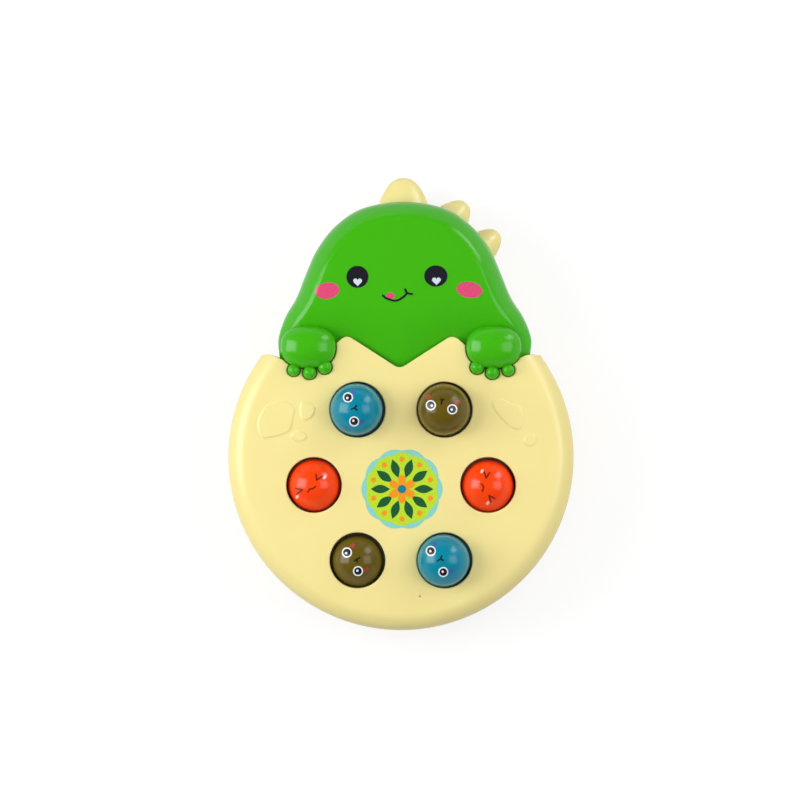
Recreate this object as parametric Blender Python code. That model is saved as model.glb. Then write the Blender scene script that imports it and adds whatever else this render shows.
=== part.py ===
"""A tabletop whack-a-mole toy: a young dinosaur that looks out of a cracked egg, over six heads to push down.

The toy lies on its back on four feet. +Z comes up out of its face and +Y runs to the dinosaur's crown.
Lengths are in metres. Outlines are drawn from the centre of the egg's circle, which an empty carries.
"""

import math

import bmesh
import bpy
from mathutils import Matrix, Vector

# Case: outlines seen from the front
EGG_RADIUS = 0.08665
HEAD_LENGTH = 0.1283  # egg centre to the dinosaur's crown
HEAD_OFFSET = 0.00125  # the dinosaur leans this far to the right of the egg's centre line
HEM_OVERLAP = 0.0030  # the dinosaur's shell goes this far under the lowest point of the egg's cracked edge
EGG_TURNS = 48  # straight edges round the egg

# Case: heights above the table
FOOT_HEIGHT = 0.0012
REAR_DEPTH = 0.0185  # rear cover, from its back to the parting line
EGG_DEPTH = 0.0260  # egg's front, from the parting line to the edge of its face
EGG_CROWN = 0.0015  # rise of the egg's face at its centre
HEAD_RISE = 0.0045  # the dinosaur's face stands this far above the edge of the egg's face

# Case: walls and rounded rims
WALL = 0.0022
GAP = 0.0003  # parting and running clearance
OVERRUN = 0.002  # how far a cut runs past what it cuts
EGG_RIM_WIDTH = 0.0090
EGG_RIM_HEIGHT = 0.0110
HEAD_RIM_WIDTH = 0.0090
HEAD_RIM_HEIGHT = 0.0160
REAR_RIM_WIDTH = 0.0085
REAR_RIM_HEIGHT = 0.0095
RIM_STEPS = 3

# Outlines as shares of the egg's radius, and of the head's length for heights on the head
HEAD_OUTLINE_SHARES = (
    (0.600, 0.231),
    (0.695, 0.342),
    (0.724, 0.429),
    (0.718, 0.483),
    (0.681, 0.553),
    (0.620, 0.624),
    (0.565, 0.717),
    (0.502, 0.811),
    (0.395, 0.904),
    (0.237, 0.974),
)
HEAD_CURVE_STEPS = 2
CRACK_SHARES = ((0.000, 0.502), (0.307, 0.713), (0.552, 0.502), (0.739, 0.606), (1.040, 0.583))
CRACK_ROUND_SHARE = 0.040
CRACK_ROUND_STEPS = 4

# Spikes down the dinosaur's back: places on the head's outline, lean from the right, half width and height
SPIKE_PLACE_SHARES = ((0.000, 0.994), (0.295, 0.946), (0.477, 0.838))
SPIKE_LEAN = (90.0, 46.0, 40.0)
SPIKE_HALF_WIDTHS = (0.0125, 0.0083, 0.0078)
SPIKE_HEIGHTS = (0.0127, 0.0082, 0.0082)
SPIKE_HALF_DEPTH = 0.0080
SPIKE_TURNS = 14
SPIKE_PROFILE_SHARES = ((-0.50, 1.08), (0.00, 1.00), (0.50, 0.76), (0.75, 0.55), (0.92, 0.30), (1.00, 0.10))

# Paws seen from the front: palm as shares of the egg's radius, toes as shares of the palm's half sizes
PALM_SHARES = (0.535, 0.638)
PALM_HALF_WIDTH = 0.0142
PALM_HALF_LENGTH = 0.0104
PALM_HALF_HEIGHT = 0.0085
TOE_SHARES = ((0.525, -1.075), (-0.049, -1.191), (-0.598, -0.941))
TOE_RADII = (0.0031, 0.0034, 0.0035)
TOE_LIFT = 0.0010  # toes' centres above the edge of the egg's face
PAW_CLEARANCE = 0.0004
PAW_TURNS = 18
TOE_TURNS = 12

# Six heads on a ring, which is placed and sized by shares of the egg's radius
HEAD_NAMES = ("right", "top_right", "top_left", "left", "bottom_left", "bottom_right")
RAISED = ("top_right", "top_left", "bottom_right")
RING_SHARE = 0.502
RING_DROP_SHARE = 0.158  # ring centre below the egg's centre
TRAVEL = 0.0090
CAP_RADIUS = 0.0130
CAP_HEIGHT = 0.0115
CAP_SKIRT = 0.0085
CAP_WALL = 0.0018
CAP_LIFT = 0.0005  # middle of the travel above the edge of the egg's face
CAP_TURNS = 24
CAP_STEPS = 4
HOLE_CLEARANCE = 0.0009
COLLAR_WALL = 0.0019
COLLAR_DEPTH = 0.0080

# Plungers and the plate that guides them
STEM_RADIUS = 0.0040
STEM_TURNS = 12
SOCKET_WALL = 0.0015
SOCKET_DROP = 0.0010  # the cap's socket ends this far below the rim of the dome
STEM_REACH = 0.0080  # top of the stem above the rim of the dome
FLANGE_RADIUS = 0.0070
FLANGE_THICKNESS = 0.0014
FOOT_CURVE = 0.0090
FOOT_RADIUS = 0.0054
PLATE_EDGE = 0.0105  # from the heads' axes out to the edge of the plate
PLATE_THICKNESS = 0.0020
PLATE_DROP = 0.0010  # plate below the skirt of a head that is down
SLEEVE_WALL = 0.0020
SLEEVE_ABOVE = 0.0035
SLEEVE_BELOW = 0.0030

# Rockers that join neighbouring heads, named by the two heads
ROCKERS = (("upper_right", 30.0, 1.0), ("upper_left", 150.0, -1.0), ("lower", 270.0, 1.0))
ROCKER_WIDTH = 0.0090
ROCKER_TOP = 0.0030  # top face above the pivot
ROCKER_BELOW = 0.0015
ROCKER_END = 0.0050  # arm past the head's axis
ROCKER_HUB_RADIUS = 0.0040
PIN_RADIUS = 0.0015
EAR_THICKNESS = 0.0022
EAR_HALF_WIDTH = 0.0045

# Screws and bosses
SCREW_RADIUS = 0.00135
SCREW_HEAD_RADIUS = 0.0027
SCREW_HEAD_HEIGHT = 0.0018
REAR_SCREW_LENGTH = 0.0140
PLATE_SCREW_LENGTH = 0.0070
SCREW_TURNS = 8
BOSS_WALL = 0.0020
BOSS_TURNS = 12
SEAT_HEIGHT = 0.0065  # a screw head's seat above the back of the rear cover
POST_HEIGHT = 0.0105  # rear posts above the back of the rear cover
EGG_SCREW_ANGLES = (15.0, 165.0, 218.0, 322.0)  # just inside the egg's rounded rim, clear of the heads
HEAD_SCREW_SHARES = ((0.200, 0.876), (0.450, 0.667))  # shares of the egg's radius and the head's length
PLATE_SCREW_ANGLES = (90.0, 210.0, 330.0)
PLATE_SCREW_SHARE = 1.05  # of the ring's radius

# Small openings and feet
VENT_RADIUS = 0.0004
VENT_SHARES = (0.110, -0.796)
PAD_RADIUS = 0.0055
PAD_SHARES = ((0.50, -0.62), (0.30, 0.80))

# Finishes: linear colour, roughness, metallic
CREAM = ((0.945, 0.805, 0.366), 0.35, 0.0)
GREEN = ((0.056, 0.474, 0.008), 0.22, 0.0)
BLUE = ((0.004, 0.262, 0.381), 0.18, 0.0)
OLIVE = ((0.171, 0.122, 0.023), 0.18, 0.0)
ORANGE = ((0.956, 0.114, 0.026), 0.18, 0.0)
WHITE = ((0.800, 0.800, 0.780), 0.40, 0.0)
GREY = ((0.180, 0.180, 0.180), 0.80, 0.0)
STEEL = ((0.600, 0.600, 0.620), 0.30, 1.0)
CAP_FINISHES = (ORANGE, OLIVE, BLUE, ORANGE, OLIVE, BLUE)

# Outlines and places worked out from the sizes
HEM_REACH = CRACK_SHARES[0][1] * EGG_RADIUS - HEM_OVERLAP
TOP_REACH = SPIKE_PLACE_SHARES[0][1] * HEAD_LENGTH + SPIKE_HEIGHTS[0]
RING_RADIUS = RING_SHARE * EGG_RADIUS
RING_DROP = RING_DROP_SHARE * EGG_RADIUS
PLATE_RADIUS = RING_RADIUS + PLATE_EDGE

# Heights worked out from the sizes
REAR_BACK = FOOT_HEIGHT + GAP
PARTING = REAR_BACK + REAR_DEPTH
FRONT_EDGE = PARTING + GAP
FACE = PARTING + EGG_DEPTH
HEAD_FACE = FACE + HEAD_RISE
TUCK = FACE - WALL - GAP  # the dinosaur's shell where it passes under the egg's
CAP_UP = FACE + CAP_LIFT + TRAVEL / 2
PLATE_TOP = CAP_UP - TRAVEL - CAP_SKIRT - PLATE_DROP
PLATE_BACK = PLATE_TOP - PLATE_THICKNESS
SLEEVE_END = PLATE_BACK - SLEEVE_BELOW
FLANGE_TOP = SLEEVE_END - GAP
FOOT_SAG = FOOT_CURVE - math.sqrt(FOOT_CURVE**2 - FOOT_RADIUS**2)
FOOT_UP = FLANGE_TOP - FLANGE_THICKNESS - FOOT_SAG
SEAT = REAR_BACK + SEAT_HEIGHT
POST_TOP = REAR_BACK + POST_HEIGHT
SPIKE_MIDDLE = PARTING - SPIKE_HALF_DEPTH / 2

# Rockers lean so far that each foot rests on its arm at both ends of the travel
TILT = math.atan(TRAVEL / RING_RADIUS)
PIVOT = FOOT_UP - TRAVEL / 2 + FOOT_CURVE - (ROCKER_TOP + FOOT_CURVE + GAP) / math.cos(TILT)
PIVOT_RADIUS = RING_RADIUS * math.cos(math.pi / 6)

HOLE_RADIUS = CAP_RADIUS + HOLE_CLEARANCE
BOSS_RADIUS = SCREW_RADIUS + GAP + BOSS_WALL
SINK_RADIUS = SCREW_HEAD_RADIUS + GAP
POST_RADIUS = SINK_RADIUS + BOSS_WALL
SLEEVE_BORE = STEM_RADIUS + GAP
EGG_SCREW_RADIUS = EGG_RADIUS - EGG_RIM_WIDTH - BOSS_RADIUS
HEAD_CENTRE = Vector((HEAD_OFFSET, (HEAD_LENGTH + HEM_REACH) / 2))


def clear_scene():
    for obj in list(bpy.data.objects):
        bpy.data.objects.remove(obj, do_unlink=True)


def make_empty(name, location, parent=None):
    empty = bpy.data.objects.new(name, None)
    bpy.context.scene.collection.objects.link(empty)
    empty.location = location
    empty.parent = parent
    empty.empty_display_size = CAP_RADIUS
    return empty


def make_object(name, fill, parent, location=(0, 0, 0), turn=(0, 0, 0)):
    """An object whose mesh the function fill draws."""
    bm = bmesh.new()
    fill(bm)
    bmesh.ops.recalc_face_normals(bm, faces=bm.faces)
    mesh = bpy.data.meshes.new(name)
    bm.to_mesh(mesh)
    bm.free()
    obj = bpy.data.objects.new(name, mesh)
    bpy.context.scene.collection.objects.link(obj)
    obj.parent = parent
    obj.location = location
    obj.rotation_euler = turn
    return obj


def make_piece(name, fill, finish, parent, location=(0, 0, 0), turn=(0, 0, 0)):
    piece = make_object(name, fill, parent, location, turn)
    colour, roughness, metallic = finish
    material = bpy.data.materials.new(name + "_finish")
    material.use_nodes = True
    shader = material.node_tree.nodes["Principled BSDF"]
    shader.inputs["Base Color"].default_value = (*colour, 1.0)
    shader.inputs["Roughness"].default_value = roughness
    shader.inputs["Metallic"].default_value = metallic
    piece.data.materials.append(material)
    piece.data.shade_smooth()
    piece.data.set_sharp_from_angle(angle=math.radians(40))
    return piece


def make_tool(name, fill, parent, location=(0, 0, 0)):
    """A hidden shape that cuts or is joined to a piece."""
    tool = make_object(name, fill, parent, location)
    tool.hide_render = True
    tool.display_type = "WIRE"
    return tool


def combine(piece, tool, operation):
    boolean = piece.modifiers.new(operation.lower() + "_" + tool.name, "BOOLEAN")
    boolean.operation = operation
    boolean.solver = "EXACT"
    boolean.object = tool


def add_rings(bm, rings, apex=None):
    """Skins a stack of rings of equal counts, and closes both ends; apex closes the last one with a point."""
    loops = [[bm.verts.new(point) for point in ring] for ring in rings]
    skin(bm, loops)
    bm.faces.new(loops[0])
    if apex is None:
        bm.faces.new(loops[-1])
        return
    tip = bm.verts.new(apex)
    last = loops[-1]
    for i, vert in enumerate(last):
        bm.faces.new((vert, last[(i + 1) % len(last)], tip))


def add_ring_tube(bm, rings):
    """Skins a closed cycle of rings, which encloses a bore."""
    loops = [[bm.verts.new(point) for point in ring] for ring in rings]
    skin(bm, loops + loops[:1])


def skin(bm, loops):
    for lower, upper in zip(loops, loops[1:]):
        for i in range(len(lower)):
            j = (i + 1) % len(lower)
            bm.faces.new((lower[i], lower[j], upper[j], upper[i]))


def circle(radius, height, turns, centre=(0, 0)):
    angles = [math.tau * i / turns for i in range(turns)]
    return [Vector((centre[0] + radius * math.cos(a), centre[1] + radius * math.sin(a), height)) for a in angles]


def add_turned(bm, profile, turns, centre=(0, 0)):
    """A turned solid from a profile of radius and height that is closed at both ends."""
    add_rings(bm, [circle(radius, height, turns, centre) for radius, height in profile])


def add_tube(bm, outer, inner, low, high, turns, centre=(0, 0)):
    profile = ((outer, low), (outer, high), (inner, high), (inner, low))
    add_ring_tube(bm, [circle(radius, height, turns, centre) for radius, height in profile])


def add_prism(bm, outline, low, high):
    add_rings(bm, [[Vector((x, y, z)) for x, y in outline] for z in (low, high)])


def add_box(bm, low, high):
    add_prism(bm, ((low[0], low[1]), (high[0], low[1]), (high[0], high[1]), (low[0], high[1])), low[2], high[2])


def add_ellipsoid(bm, centre, radii, turns):
    place = Matrix.Translation(centre) @ Matrix.Diagonal((*radii, 1))
    bmesh.ops.create_uvsphere(bm, u_segments=turns, v_segments=turns // 2, radius=1, matrix=place)


def polar(radius, degrees, centre=(0, 0)):
    angle = math.radians(degrees)
    return (centre[0] + radius * math.cos(angle), centre[1] + radius * math.sin(angle))


def smooth_path(points, steps):
    """A smooth curve through the points, which keeps its end points."""
    padded = [2 * points[0] - points[1], *points, 2 * points[-1] - points[-2]]
    path = []
    for before, start, end, after in zip(padded, padded[1:], padded[2:], padded[3:]):
        for i in range(steps):
            t = i / steps
            bend = (2 * before - 5 * start + 4 * end - after) * t**2
            twist = (3 * start - before - 3 * end + after) * t**3
            path.append((2 * start + (end - before) * t + bend + twist) / 2)
    return [*path, points[-1]]


def rounded_path(points, reach, steps):
    """Straight runs whose inner corners are rounded over the given reach."""
    path = [points[0]]
    for before, corner, after in zip(points, points[1:], points[2:]):
        start = corner + (before - corner).normalized() * reach
        end = corner + (after - corner).normalized() * reach
        for i in range(steps + 1):
            t = i / steps
            path.append(start * (1 - t) ** 2 + 2 * corner * t * (1 - t) + end * t**2)
    return [*path, points[-1]]


def inset(outline, distance):
    """The outline moved inwards, for an outline that runs anticlockwise."""
    moved = []
    for i, point in enumerate(outline):
        along_in = (point - outline[i - 1]).normalized()
        along_out = (outline[(i + 1) % len(outline)] - point).normalized()
        normal = Vector((-along_in.y - along_out.y, along_in.x + along_out.x)).normalized()
        slope = normal.dot(Vector((-along_in.y, along_in.x)))
        moved.append(point + normal * distance / slope)
    return moved


def egg_outline():
    return [Vector(polar(EGG_RADIUS, 360 * i / EGG_TURNS)) for i in range(EGG_TURNS)]


def head_outline():
    half = [Vector((across * EGG_RADIUS, up * HEAD_LENGTH)) for across, up in HEAD_OUTLINE_SHARES]
    crown = Vector((0, HEAD_LENGTH))
    mirrored = [Vector((-point.x, point.y)) for point in reversed(half)]
    path = smooth_path([*half, crown, *mirrored], HEAD_CURVE_STEPS)
    return [point + Vector((HEAD_OFFSET, 0)) for point in path]


def crack_outline():
    """The space above the cracked edge of the egg, anticlockwise."""
    half = [Vector((across * EGG_RADIUS, up * EGG_RADIUS)) for across, up in CRACK_SHARES]
    mirrored = [Vector((-point.x, point.y)) for point in reversed(half[1:])]
    edge = rounded_path([*mirrored, *half], CRACK_ROUND_SHARE * EGG_RADIUS, CRACK_ROUND_STEPS)
    reach = EGG_RADIUS + OVERRUN
    return [*edge, Vector((edge[-1].x, reach)), Vector((edge[0].x, reach))]


def egg_face(x, y):
    return FACE + EGG_CROWN * (1 - (x**2 + y**2) / EGG_RADIUS**2)


def head_face(x, y):
    """The dinosaur's face, which dips to pass under the egg's cracked edge."""
    low = CRACK_SHARES[1][1] * EGG_RADIUS
    share = min(max((y - low) / (HEAD_CENTRE.y - low), 0), 1)
    return TUCK + (HEAD_FACE - TUCK) * share**2 * (3 - 2 * share)


def flat_back(x, y):
    return REAR_BACK


def add_dome(bm, outline, edge, shoulder, face, rim, thickness=0, rings=(0.62, 0.25)):
    """A solid that rises from its flat edge over a rounded rim to its face; thickness gives the shape inside it."""
    inward = 1 if edge < shoulder else -1
    outline = inset(outline, thickness)
    steps = [math.radians(90 * i / RIM_STEPS) for i in range(RIM_STEPS + 1)]
    levels = [[Vector((p.x, p.y, edge)) for p in outline]]
    for angle in steps:
        ring = []
        for p in inset(outline, (rim - thickness) * (1 - math.cos(angle))):
            top = face(p.x, p.y) - inward * thickness
            ring.append(Vector((p.x, p.y, shoulder + (top - shoulder) * math.sin(angle))))
        levels.append(ring)
    middle = sum(outline, Vector((0, 0))) / len(outline)
    flat = levels[-1]
    for share in rings:
        spots = [middle + (p.xy - middle) * share for p in flat]
        levels.append([Vector((p.x, p.y, face(p.x, p.y) - inward * thickness)) for p in spots])
    add_rings(bm, levels, Vector((*middle, face(*middle) - inward * thickness)))


def screw_places():
    """Places of the screws that close the case: those in the egg, and those in the dinosaur."""
    egg = [polar(EGG_SCREW_RADIUS, angle) for angle in EGG_SCREW_ANGLES]
    head = []
    for across, up in HEAD_SCREW_SHARES:
        for side in (-1, 1):
            head.append((HEAD_OFFSET + side * across * EGG_RADIUS, up * HEAD_LENGTH))
    return egg, head


def add_screw(bm, place, seat, length):
    """A screw whose head lies below its seat, with a plain shank above it."""
    top = seat - GAP
    profile = (
        (SCREW_HEAD_RADIUS, top - SCREW_HEAD_HEIGHT),
        (SCREW_HEAD_RADIUS, top),
        (SCREW_RADIUS, top),
        (SCREW_RADIUS, seat + length - SCREW_RADIUS),
        (SCREW_RADIUS / 2, seat + length),
    )
    add_turned(bm, profile, SCREW_TURNS, place)


def add_screw_hole(bm, place, seat, length, sink):
    """The way of a screw: its shank's bore, and a wider sink for its head from below."""
    profile = (
        (SINK_RADIUS, sink),
        (SINK_RADIUS, seat),
        (SCREW_RADIUS + GAP, seat),
        (SCREW_RADIUS + GAP, seat + length + GAP),
    )
    add_turned(bm, profile, SCREW_TURNS, place)


def ring_place(index):
    return polar(RING_RADIUS, 60 * index)


def plate_screw_places():
    outer = [polar(PLATE_SCREW_SHARE * RING_RADIUS, angle) for angle in PLATE_SCREW_ANGLES]
    return [(0, 0), *outer]


def paw_places():
    """Centres of both palms, and centres and radii of their toes, seen from the front."""
    palms, toes = [], []
    for side in (-1, 1):
        palm = Vector((side * PALM_SHARES[0], PALM_SHARES[1])) * EGG_RADIUS
        palms.append(palm)
        for (across, up), radius in zip(TOE_SHARES, TOE_RADII):
            toes.append((palm + Vector((side * across * PALM_HALF_WIDTH, up * PALM_HALF_LENGTH)), radius))
    return palms, toes


def ellipse(centre, half_width, half_length, turns):
    spots = [math.tau * i / turns for i in range(turns)]
    return [(centre.x + half_width * math.cos(a), centre.y + half_length * math.sin(a)) for a in spots]


def build_egg_front(egg, ring):
    """The cream front of the egg: face, rounded rim, cracked top edge, six guided holes and bosses."""
    shoulder = FACE - EGG_RIM_HEIGHT
    shell = make_piece(
        "egg_front_shell",
        lambda bm: add_dome(bm, egg_outline(), FRONT_EDGE, shoulder, egg_face, EGG_RIM_WIDTH, rings=(0.5,)),
        CREAM,
        egg,
    )

    def hollow(bm):
        add_dome(bm, egg_outline(), FRONT_EDGE - OVERRUN, shoulder, egg_face, EGG_RIM_WIDTH, WALL, (0.5,))

    def crack(bm):
        add_prism(bm, crack_outline(), -OVERRUN, FACE + EGG_CROWN + OVERRUN)

    def palm_notches(bm):
        for centre in paw_places()[0]:
            width, length = PALM_HALF_WIDTH + PAW_CLEARANCE, PALM_HALF_LENGTH + PAW_CLEARANCE
            add_prism(bm, ellipse(centre, width, length, CAP_TURNS), FACE - COLLAR_DEPTH, HEAD_FACE)

    def toe_notches(bm):
        for centre, radius in paw_places()[1]:
            reach = radius + PAW_CLEARANCE
            add_prism(bm, ellipse(centre, reach, reach, STEM_TURNS), FACE - COLLAR_DEPTH, HEAD_FACE)

    def collars(bm):
        for i in range(len(HEAD_NAMES)):
            low = FACE - WALL - COLLAR_DEPTH
            add_tube(bm, HOLE_RADIUS + COLLAR_WALL, HOLE_RADIUS, low, FACE, CAP_TURNS, ring_place(i))

    def holes(bm):
        for i in range(len(HEAD_NAMES)):
            add_turned(bm, ((HOLE_RADIUS, PLATE_TOP), (HOLE_RADIUS, HEAD_FACE)), CAP_TURNS, ring_place(i))

    def case_bosses(bm):
        for place in screw_places()[0]:
            add_turned(bm, ((BOSS_RADIUS, POST_TOP + GAP), (BOSS_RADIUS, FACE)), BOSS_TURNS, place)

    def case_bores(bm):
        for place in screw_places()[0]:
            add_screw_hole(bm, place, SEAT, REAR_SCREW_LENGTH, REAR_BACK)

    def plate_bosses(bm):
        for place in plate_screw_places():
            add_turned(bm, ((BOSS_RADIUS, PLATE_TOP + GAP), (BOSS_RADIUS, FACE)), BOSS_TURNS, place)

    def plate_bores(bm):
        for place in plate_screw_places():
            add_screw_hole(bm, place, PLATE_BACK, PLATE_SCREW_LENGTH, PLATE_BACK - SCREW_HEAD_HEIGHT)

    def vent(bm):
        centre = Vector(VENT_SHARES) * EGG_RADIUS
        add_turned(bm, ((VENT_RADIUS, FACE - EGG_RIM_HEIGHT), (VENT_RADIUS, HEAD_FACE)), SCREW_TURNS, centre)

    crack_tool = make_tool("crack_tool", crack, egg)
    combine(shell, make_tool("egg_hollow_tool", hollow, egg), "DIFFERENCE")
    combine(shell, crack_tool, "DIFFERENCE")
    combine(shell, make_tool("palm_notch_tool", palm_notches, egg), "DIFFERENCE")
    combine(shell, make_tool("toe_notch_tool", toe_notches, egg), "DIFFERENCE")
    combine(shell, make_tool("hole_tool", holes, ring), "DIFFERENCE")
    combine(shell, make_tool("collar_tool", collars, ring), "UNION")
    combine(shell, make_tool("egg_boss_tool", case_bosses, egg), "UNION")
    combine(shell, make_tool("plate_boss_tool", plate_bosses, ring), "UNION")
    combine(shell, make_tool("egg_bore_tool", case_bores, egg), "DIFFERENCE")
    combine(shell, make_tool("plate_bore_tool", plate_bores, ring), "DIFFERENCE")
    combine(shell, make_tool("vent_tool", vent, egg), "DIFFERENCE")
    return crack_tool


def build_dino_front(egg):
    """The green front of the dinosaur: head and shoulders in one moulding, with paws that lie over the egg."""
    shoulder = HEAD_FACE - HEAD_RIM_HEIGHT
    shell = make_piece(
        "dino_front_shell",
        lambda bm: add_dome(bm, head_outline(), FRONT_EDGE, shoulder, head_face, HEAD_RIM_WIDTH),
        GREEN,
        egg,
    )
    palms, toes = paw_places()

    def hollow(bm):
        add_dome(bm, head_outline(), FRONT_EDGE - OVERRUN, shoulder, head_face, HEAD_RIM_WIDTH, WALL)

    def hem(bm):
        add_box(bm, (-EGG_RADIUS, -EGG_RADIUS, -OVERRUN), (EGG_RADIUS, HEM_REACH, HEAD_FACE + OVERRUN))

    def palm_blobs(bm):
        for centre in palms:
            radii = (PALM_HALF_WIDTH, PALM_HALF_LENGTH, PALM_HALF_HEIGHT)
            add_ellipsoid(bm, (*centre, FACE), radii, PAW_TURNS)

    def toe_blobs(bm):
        for centre, radius in toes:
            add_ellipsoid(bm, (*centre, FACE + TOE_LIFT), (radius, radius, radius), TOE_TURNS)

    def palm_hollows(bm):
        for centre in palms:
            radii = (PALM_HALF_WIDTH - WALL, PALM_HALF_LENGTH - WALL, PALM_HALF_HEIGHT - WALL)
            add_ellipsoid(bm, (*centre, FACE), radii, TOE_TURNS)

    def undersides(bm):
        for centre in palms:
            reach = Vector((PALM_HALF_WIDTH, PALM_HALF_LENGTH)) * 2
            low, high = centre - reach, centre + reach
            add_box(bm, (*low, shoulder), (*high, TUCK - WALL))

    def bosses(bm):
        for place in screw_places()[1]:
            top = head_face(*place) - WALL / 2
            add_turned(bm, ((BOSS_RADIUS, POST_TOP + GAP), (BOSS_RADIUS, top)), BOSS_TURNS, place)

    def bores(bm):
        for place in screw_places()[1]:
            add_screw_hole(bm, place, SEAT, REAR_SCREW_LENGTH, REAR_BACK)

    palm_tool = make_tool("palm_tool", palm_blobs, egg)
    combine(palm_tool, make_tool("toe_tool", toe_blobs, egg), "UNION")
    combine(palm_tool, make_tool("palm_underside_tool", undersides, egg), "DIFFERENCE")
    combine(shell, make_tool("head_hollow_tool", hollow, egg), "DIFFERENCE")
    combine(shell, make_tool("hem_tool", hem, egg), "DIFFERENCE")
    combine(shell, palm_tool, "UNION")
    combine(shell, make_tool("palm_hollow_tool", palm_hollows, egg), "DIFFERENCE")
    combine(shell, make_tool("head_boss_tool", bosses, egg), "UNION")
    combine(shell, make_tool("head_bore_tool", bores, egg), "DIFFERENCE")


def add_spike(bm, place_shares, lean, half_width, height):
    """A blunt cone of oval section that stands out of the head's edge."""
    foot = Vector((place_shares[0] * EGG_RADIUS + HEAD_OFFSET, place_shares[1] * HEAD_LENGTH))
    out = Vector(polar(1, lean))
    across = Vector((-out.y, out.x))
    rings = []
    for along, wide in SPIKE_PROFILE_SHARES:
        spot = foot + out * height * along
        ring = []
        for i in range(SPIKE_TURNS):
            angle = math.tau * i / SPIKE_TURNS
            side = spot + across * half_width * wide * math.cos(angle)
            ring.append(Vector((*side, SPIKE_MIDDLE + SPIKE_HALF_DEPTH * wide * math.sin(angle))))
        rings.append(ring)
    add_rings(bm, rings)


def build_rear_cover(egg, crack_tool):
    """The cream back of the toy: one tray behind egg and dinosaur, with the spikes and the screw posts."""
    egg_shoulder = REAR_BACK + REAR_RIM_HEIGHT
    cover = make_piece(
        "rear_cover",
        lambda bm: add_dome(bm, head_outline(), PARTING, egg_shoulder, flat_back, REAR_RIM_WIDTH, rings=()),
        CREAM,
        egg,
    )

    def egg_tray(bm):
        add_dome(bm, egg_outline(), PARTING, egg_shoulder, flat_back, REAR_RIM_WIDTH, rings=())

    def egg_space(bm):
        add_dome(bm, egg_outline(), PARTING + OVERRUN, egg_shoulder, flat_back, REAR_RIM_WIDTH, WALL, ())

    def head_space(bm):
        add_dome(bm, head_outline(), PARTING + OVERRUN, egg_shoulder, flat_back, REAR_RIM_WIDTH, WALL, ())

    def inner_crack(bm):
        shifted = [point - Vector((0, 2 * WALL)) for point in crack_outline()]
        add_prism(bm, shifted, -OVERRUN, PARTING + 2 * OVERRUN)

    def spikes(bm):
        for values in zip(SPIKE_PLACE_SHARES, SPIKE_LEAN, SPIKE_HALF_WIDTHS, SPIKE_HEIGHTS):
            add_spike(bm, *values)

    def head_room(bm):
        add_prism(bm, inset(head_outline(), -GAP), PARTING, HEAD_FACE)

    def posts(bm):
        for place in sum(screw_places(), []):
            add_turned(bm, ((POST_RADIUS, REAR_BACK + WALL / 2), (POST_RADIUS, POST_TOP)), BOSS_TURNS, place)

    def bores(bm):
        for place in sum(screw_places(), []):
            add_screw_hole(bm, place, SEAT, REAR_SCREW_LENGTH, REAR_BACK - OVERRUN)

    tray = make_tool("egg_tray_tool", egg_tray, egg)
    combine(tray, crack_tool, "DIFFERENCE")
    space = make_tool("egg_space_tool", egg_space, egg)
    combine(space, make_tool("inner_crack_tool", inner_crack, egg), "DIFFERENCE")
    combine(cover, tray, "UNION")
    combine(cover, make_tool("spike_tool", spikes, egg), "UNION")
    combine(cover, make_tool("head_room_tool", head_room, egg), "DIFFERENCE")
    combine(cover, make_tool("head_space_tool", head_space, egg), "DIFFERENCE")
    combine(cover, space, "DIFFERENCE")
    combine(cover, make_tool("post_tool", posts, egg), "UNION")
    combine(cover, make_tool("post_bore_tool", bores, egg), "DIFFERENCE")


def cap_profile():
    """Inside of the stem's socket, out and down the inner wall, round the skirt's edge and up the outer dome."""
    socket = SLEEVE_BORE + SOCKET_WALL
    inner = CAP_RADIUS - CAP_WALL
    inner_height = CAP_HEIGHT - CAP_WALL
    angles = [math.radians(90 * i / CAP_STEPS) for i in range(CAP_STEPS)]
    meet = inner_height * math.sqrt(1 - (socket / inner) ** 2)
    profile = [(SLEEVE_BORE, STEM_REACH + GAP), (SLEEVE_BORE, -SOCKET_DROP), (socket, -SOCKET_DROP), (socket, meet)]
    wide = math.sqrt((1 + (socket / inner) ** 2) / 2)
    profile += [(inner * wide, inner_height * math.sqrt(1 - wide**2)), (inner, 0), (inner, -CAP_SKIRT)]
    profile.append((CAP_RADIUS, -CAP_SKIRT))
    profile += [(CAP_RADIUS * math.cos(a), CAP_HEIGHT * math.sin(a)) for a in angles]
    profile.append((CAP_RADIUS * math.cos(angles[-1]) / 3, CAP_HEIGHT))
    return profile


def plunger_profile(cap_height):
    """From the foot's rounded underside up to the top of the stem, measured from the rim of the cap's dome."""
    top = FLANGE_TOP - cap_height
    low = top - FLANGE_THICKNESS
    bend = FOOT_RADIUS / 2
    bulge = math.sqrt(FOOT_CURVE**2 - bend**2) - (FOOT_CURVE - FOOT_SAG)
    return (
        (bend, low - bulge),
        (FOOT_RADIUS, low),
        (FLANGE_RADIUS, low),
        (FLANGE_RADIUS, top),
        (STEM_RADIUS, top),
        (STEM_RADIUS, STEM_REACH),
    )


def build_heads(ring):
    """Six hollow head caps, each on its plunger; three stand raised and three stand low."""
    for i, name in enumerate(HEAD_NAMES):
        height = CAP_UP if name in RAISED else CAP_UP - TRAVEL
        axis = make_empty("head_axis_" + name, (*ring_place(i), height), ring)
        cap = make_piece("head_cap_" + name, lambda bm: add_turned(bm, cap_profile(), CAP_TURNS), CAP_FINISHES[i], axis)
        cap.data.set_sharp_from_angle(angle=math.radians(60))
        make_piece("plunger_" + name, lambda bm: add_turned(bm, plunger_profile(CAP_UP), STEM_TURNS), WHITE, axis)


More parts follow.
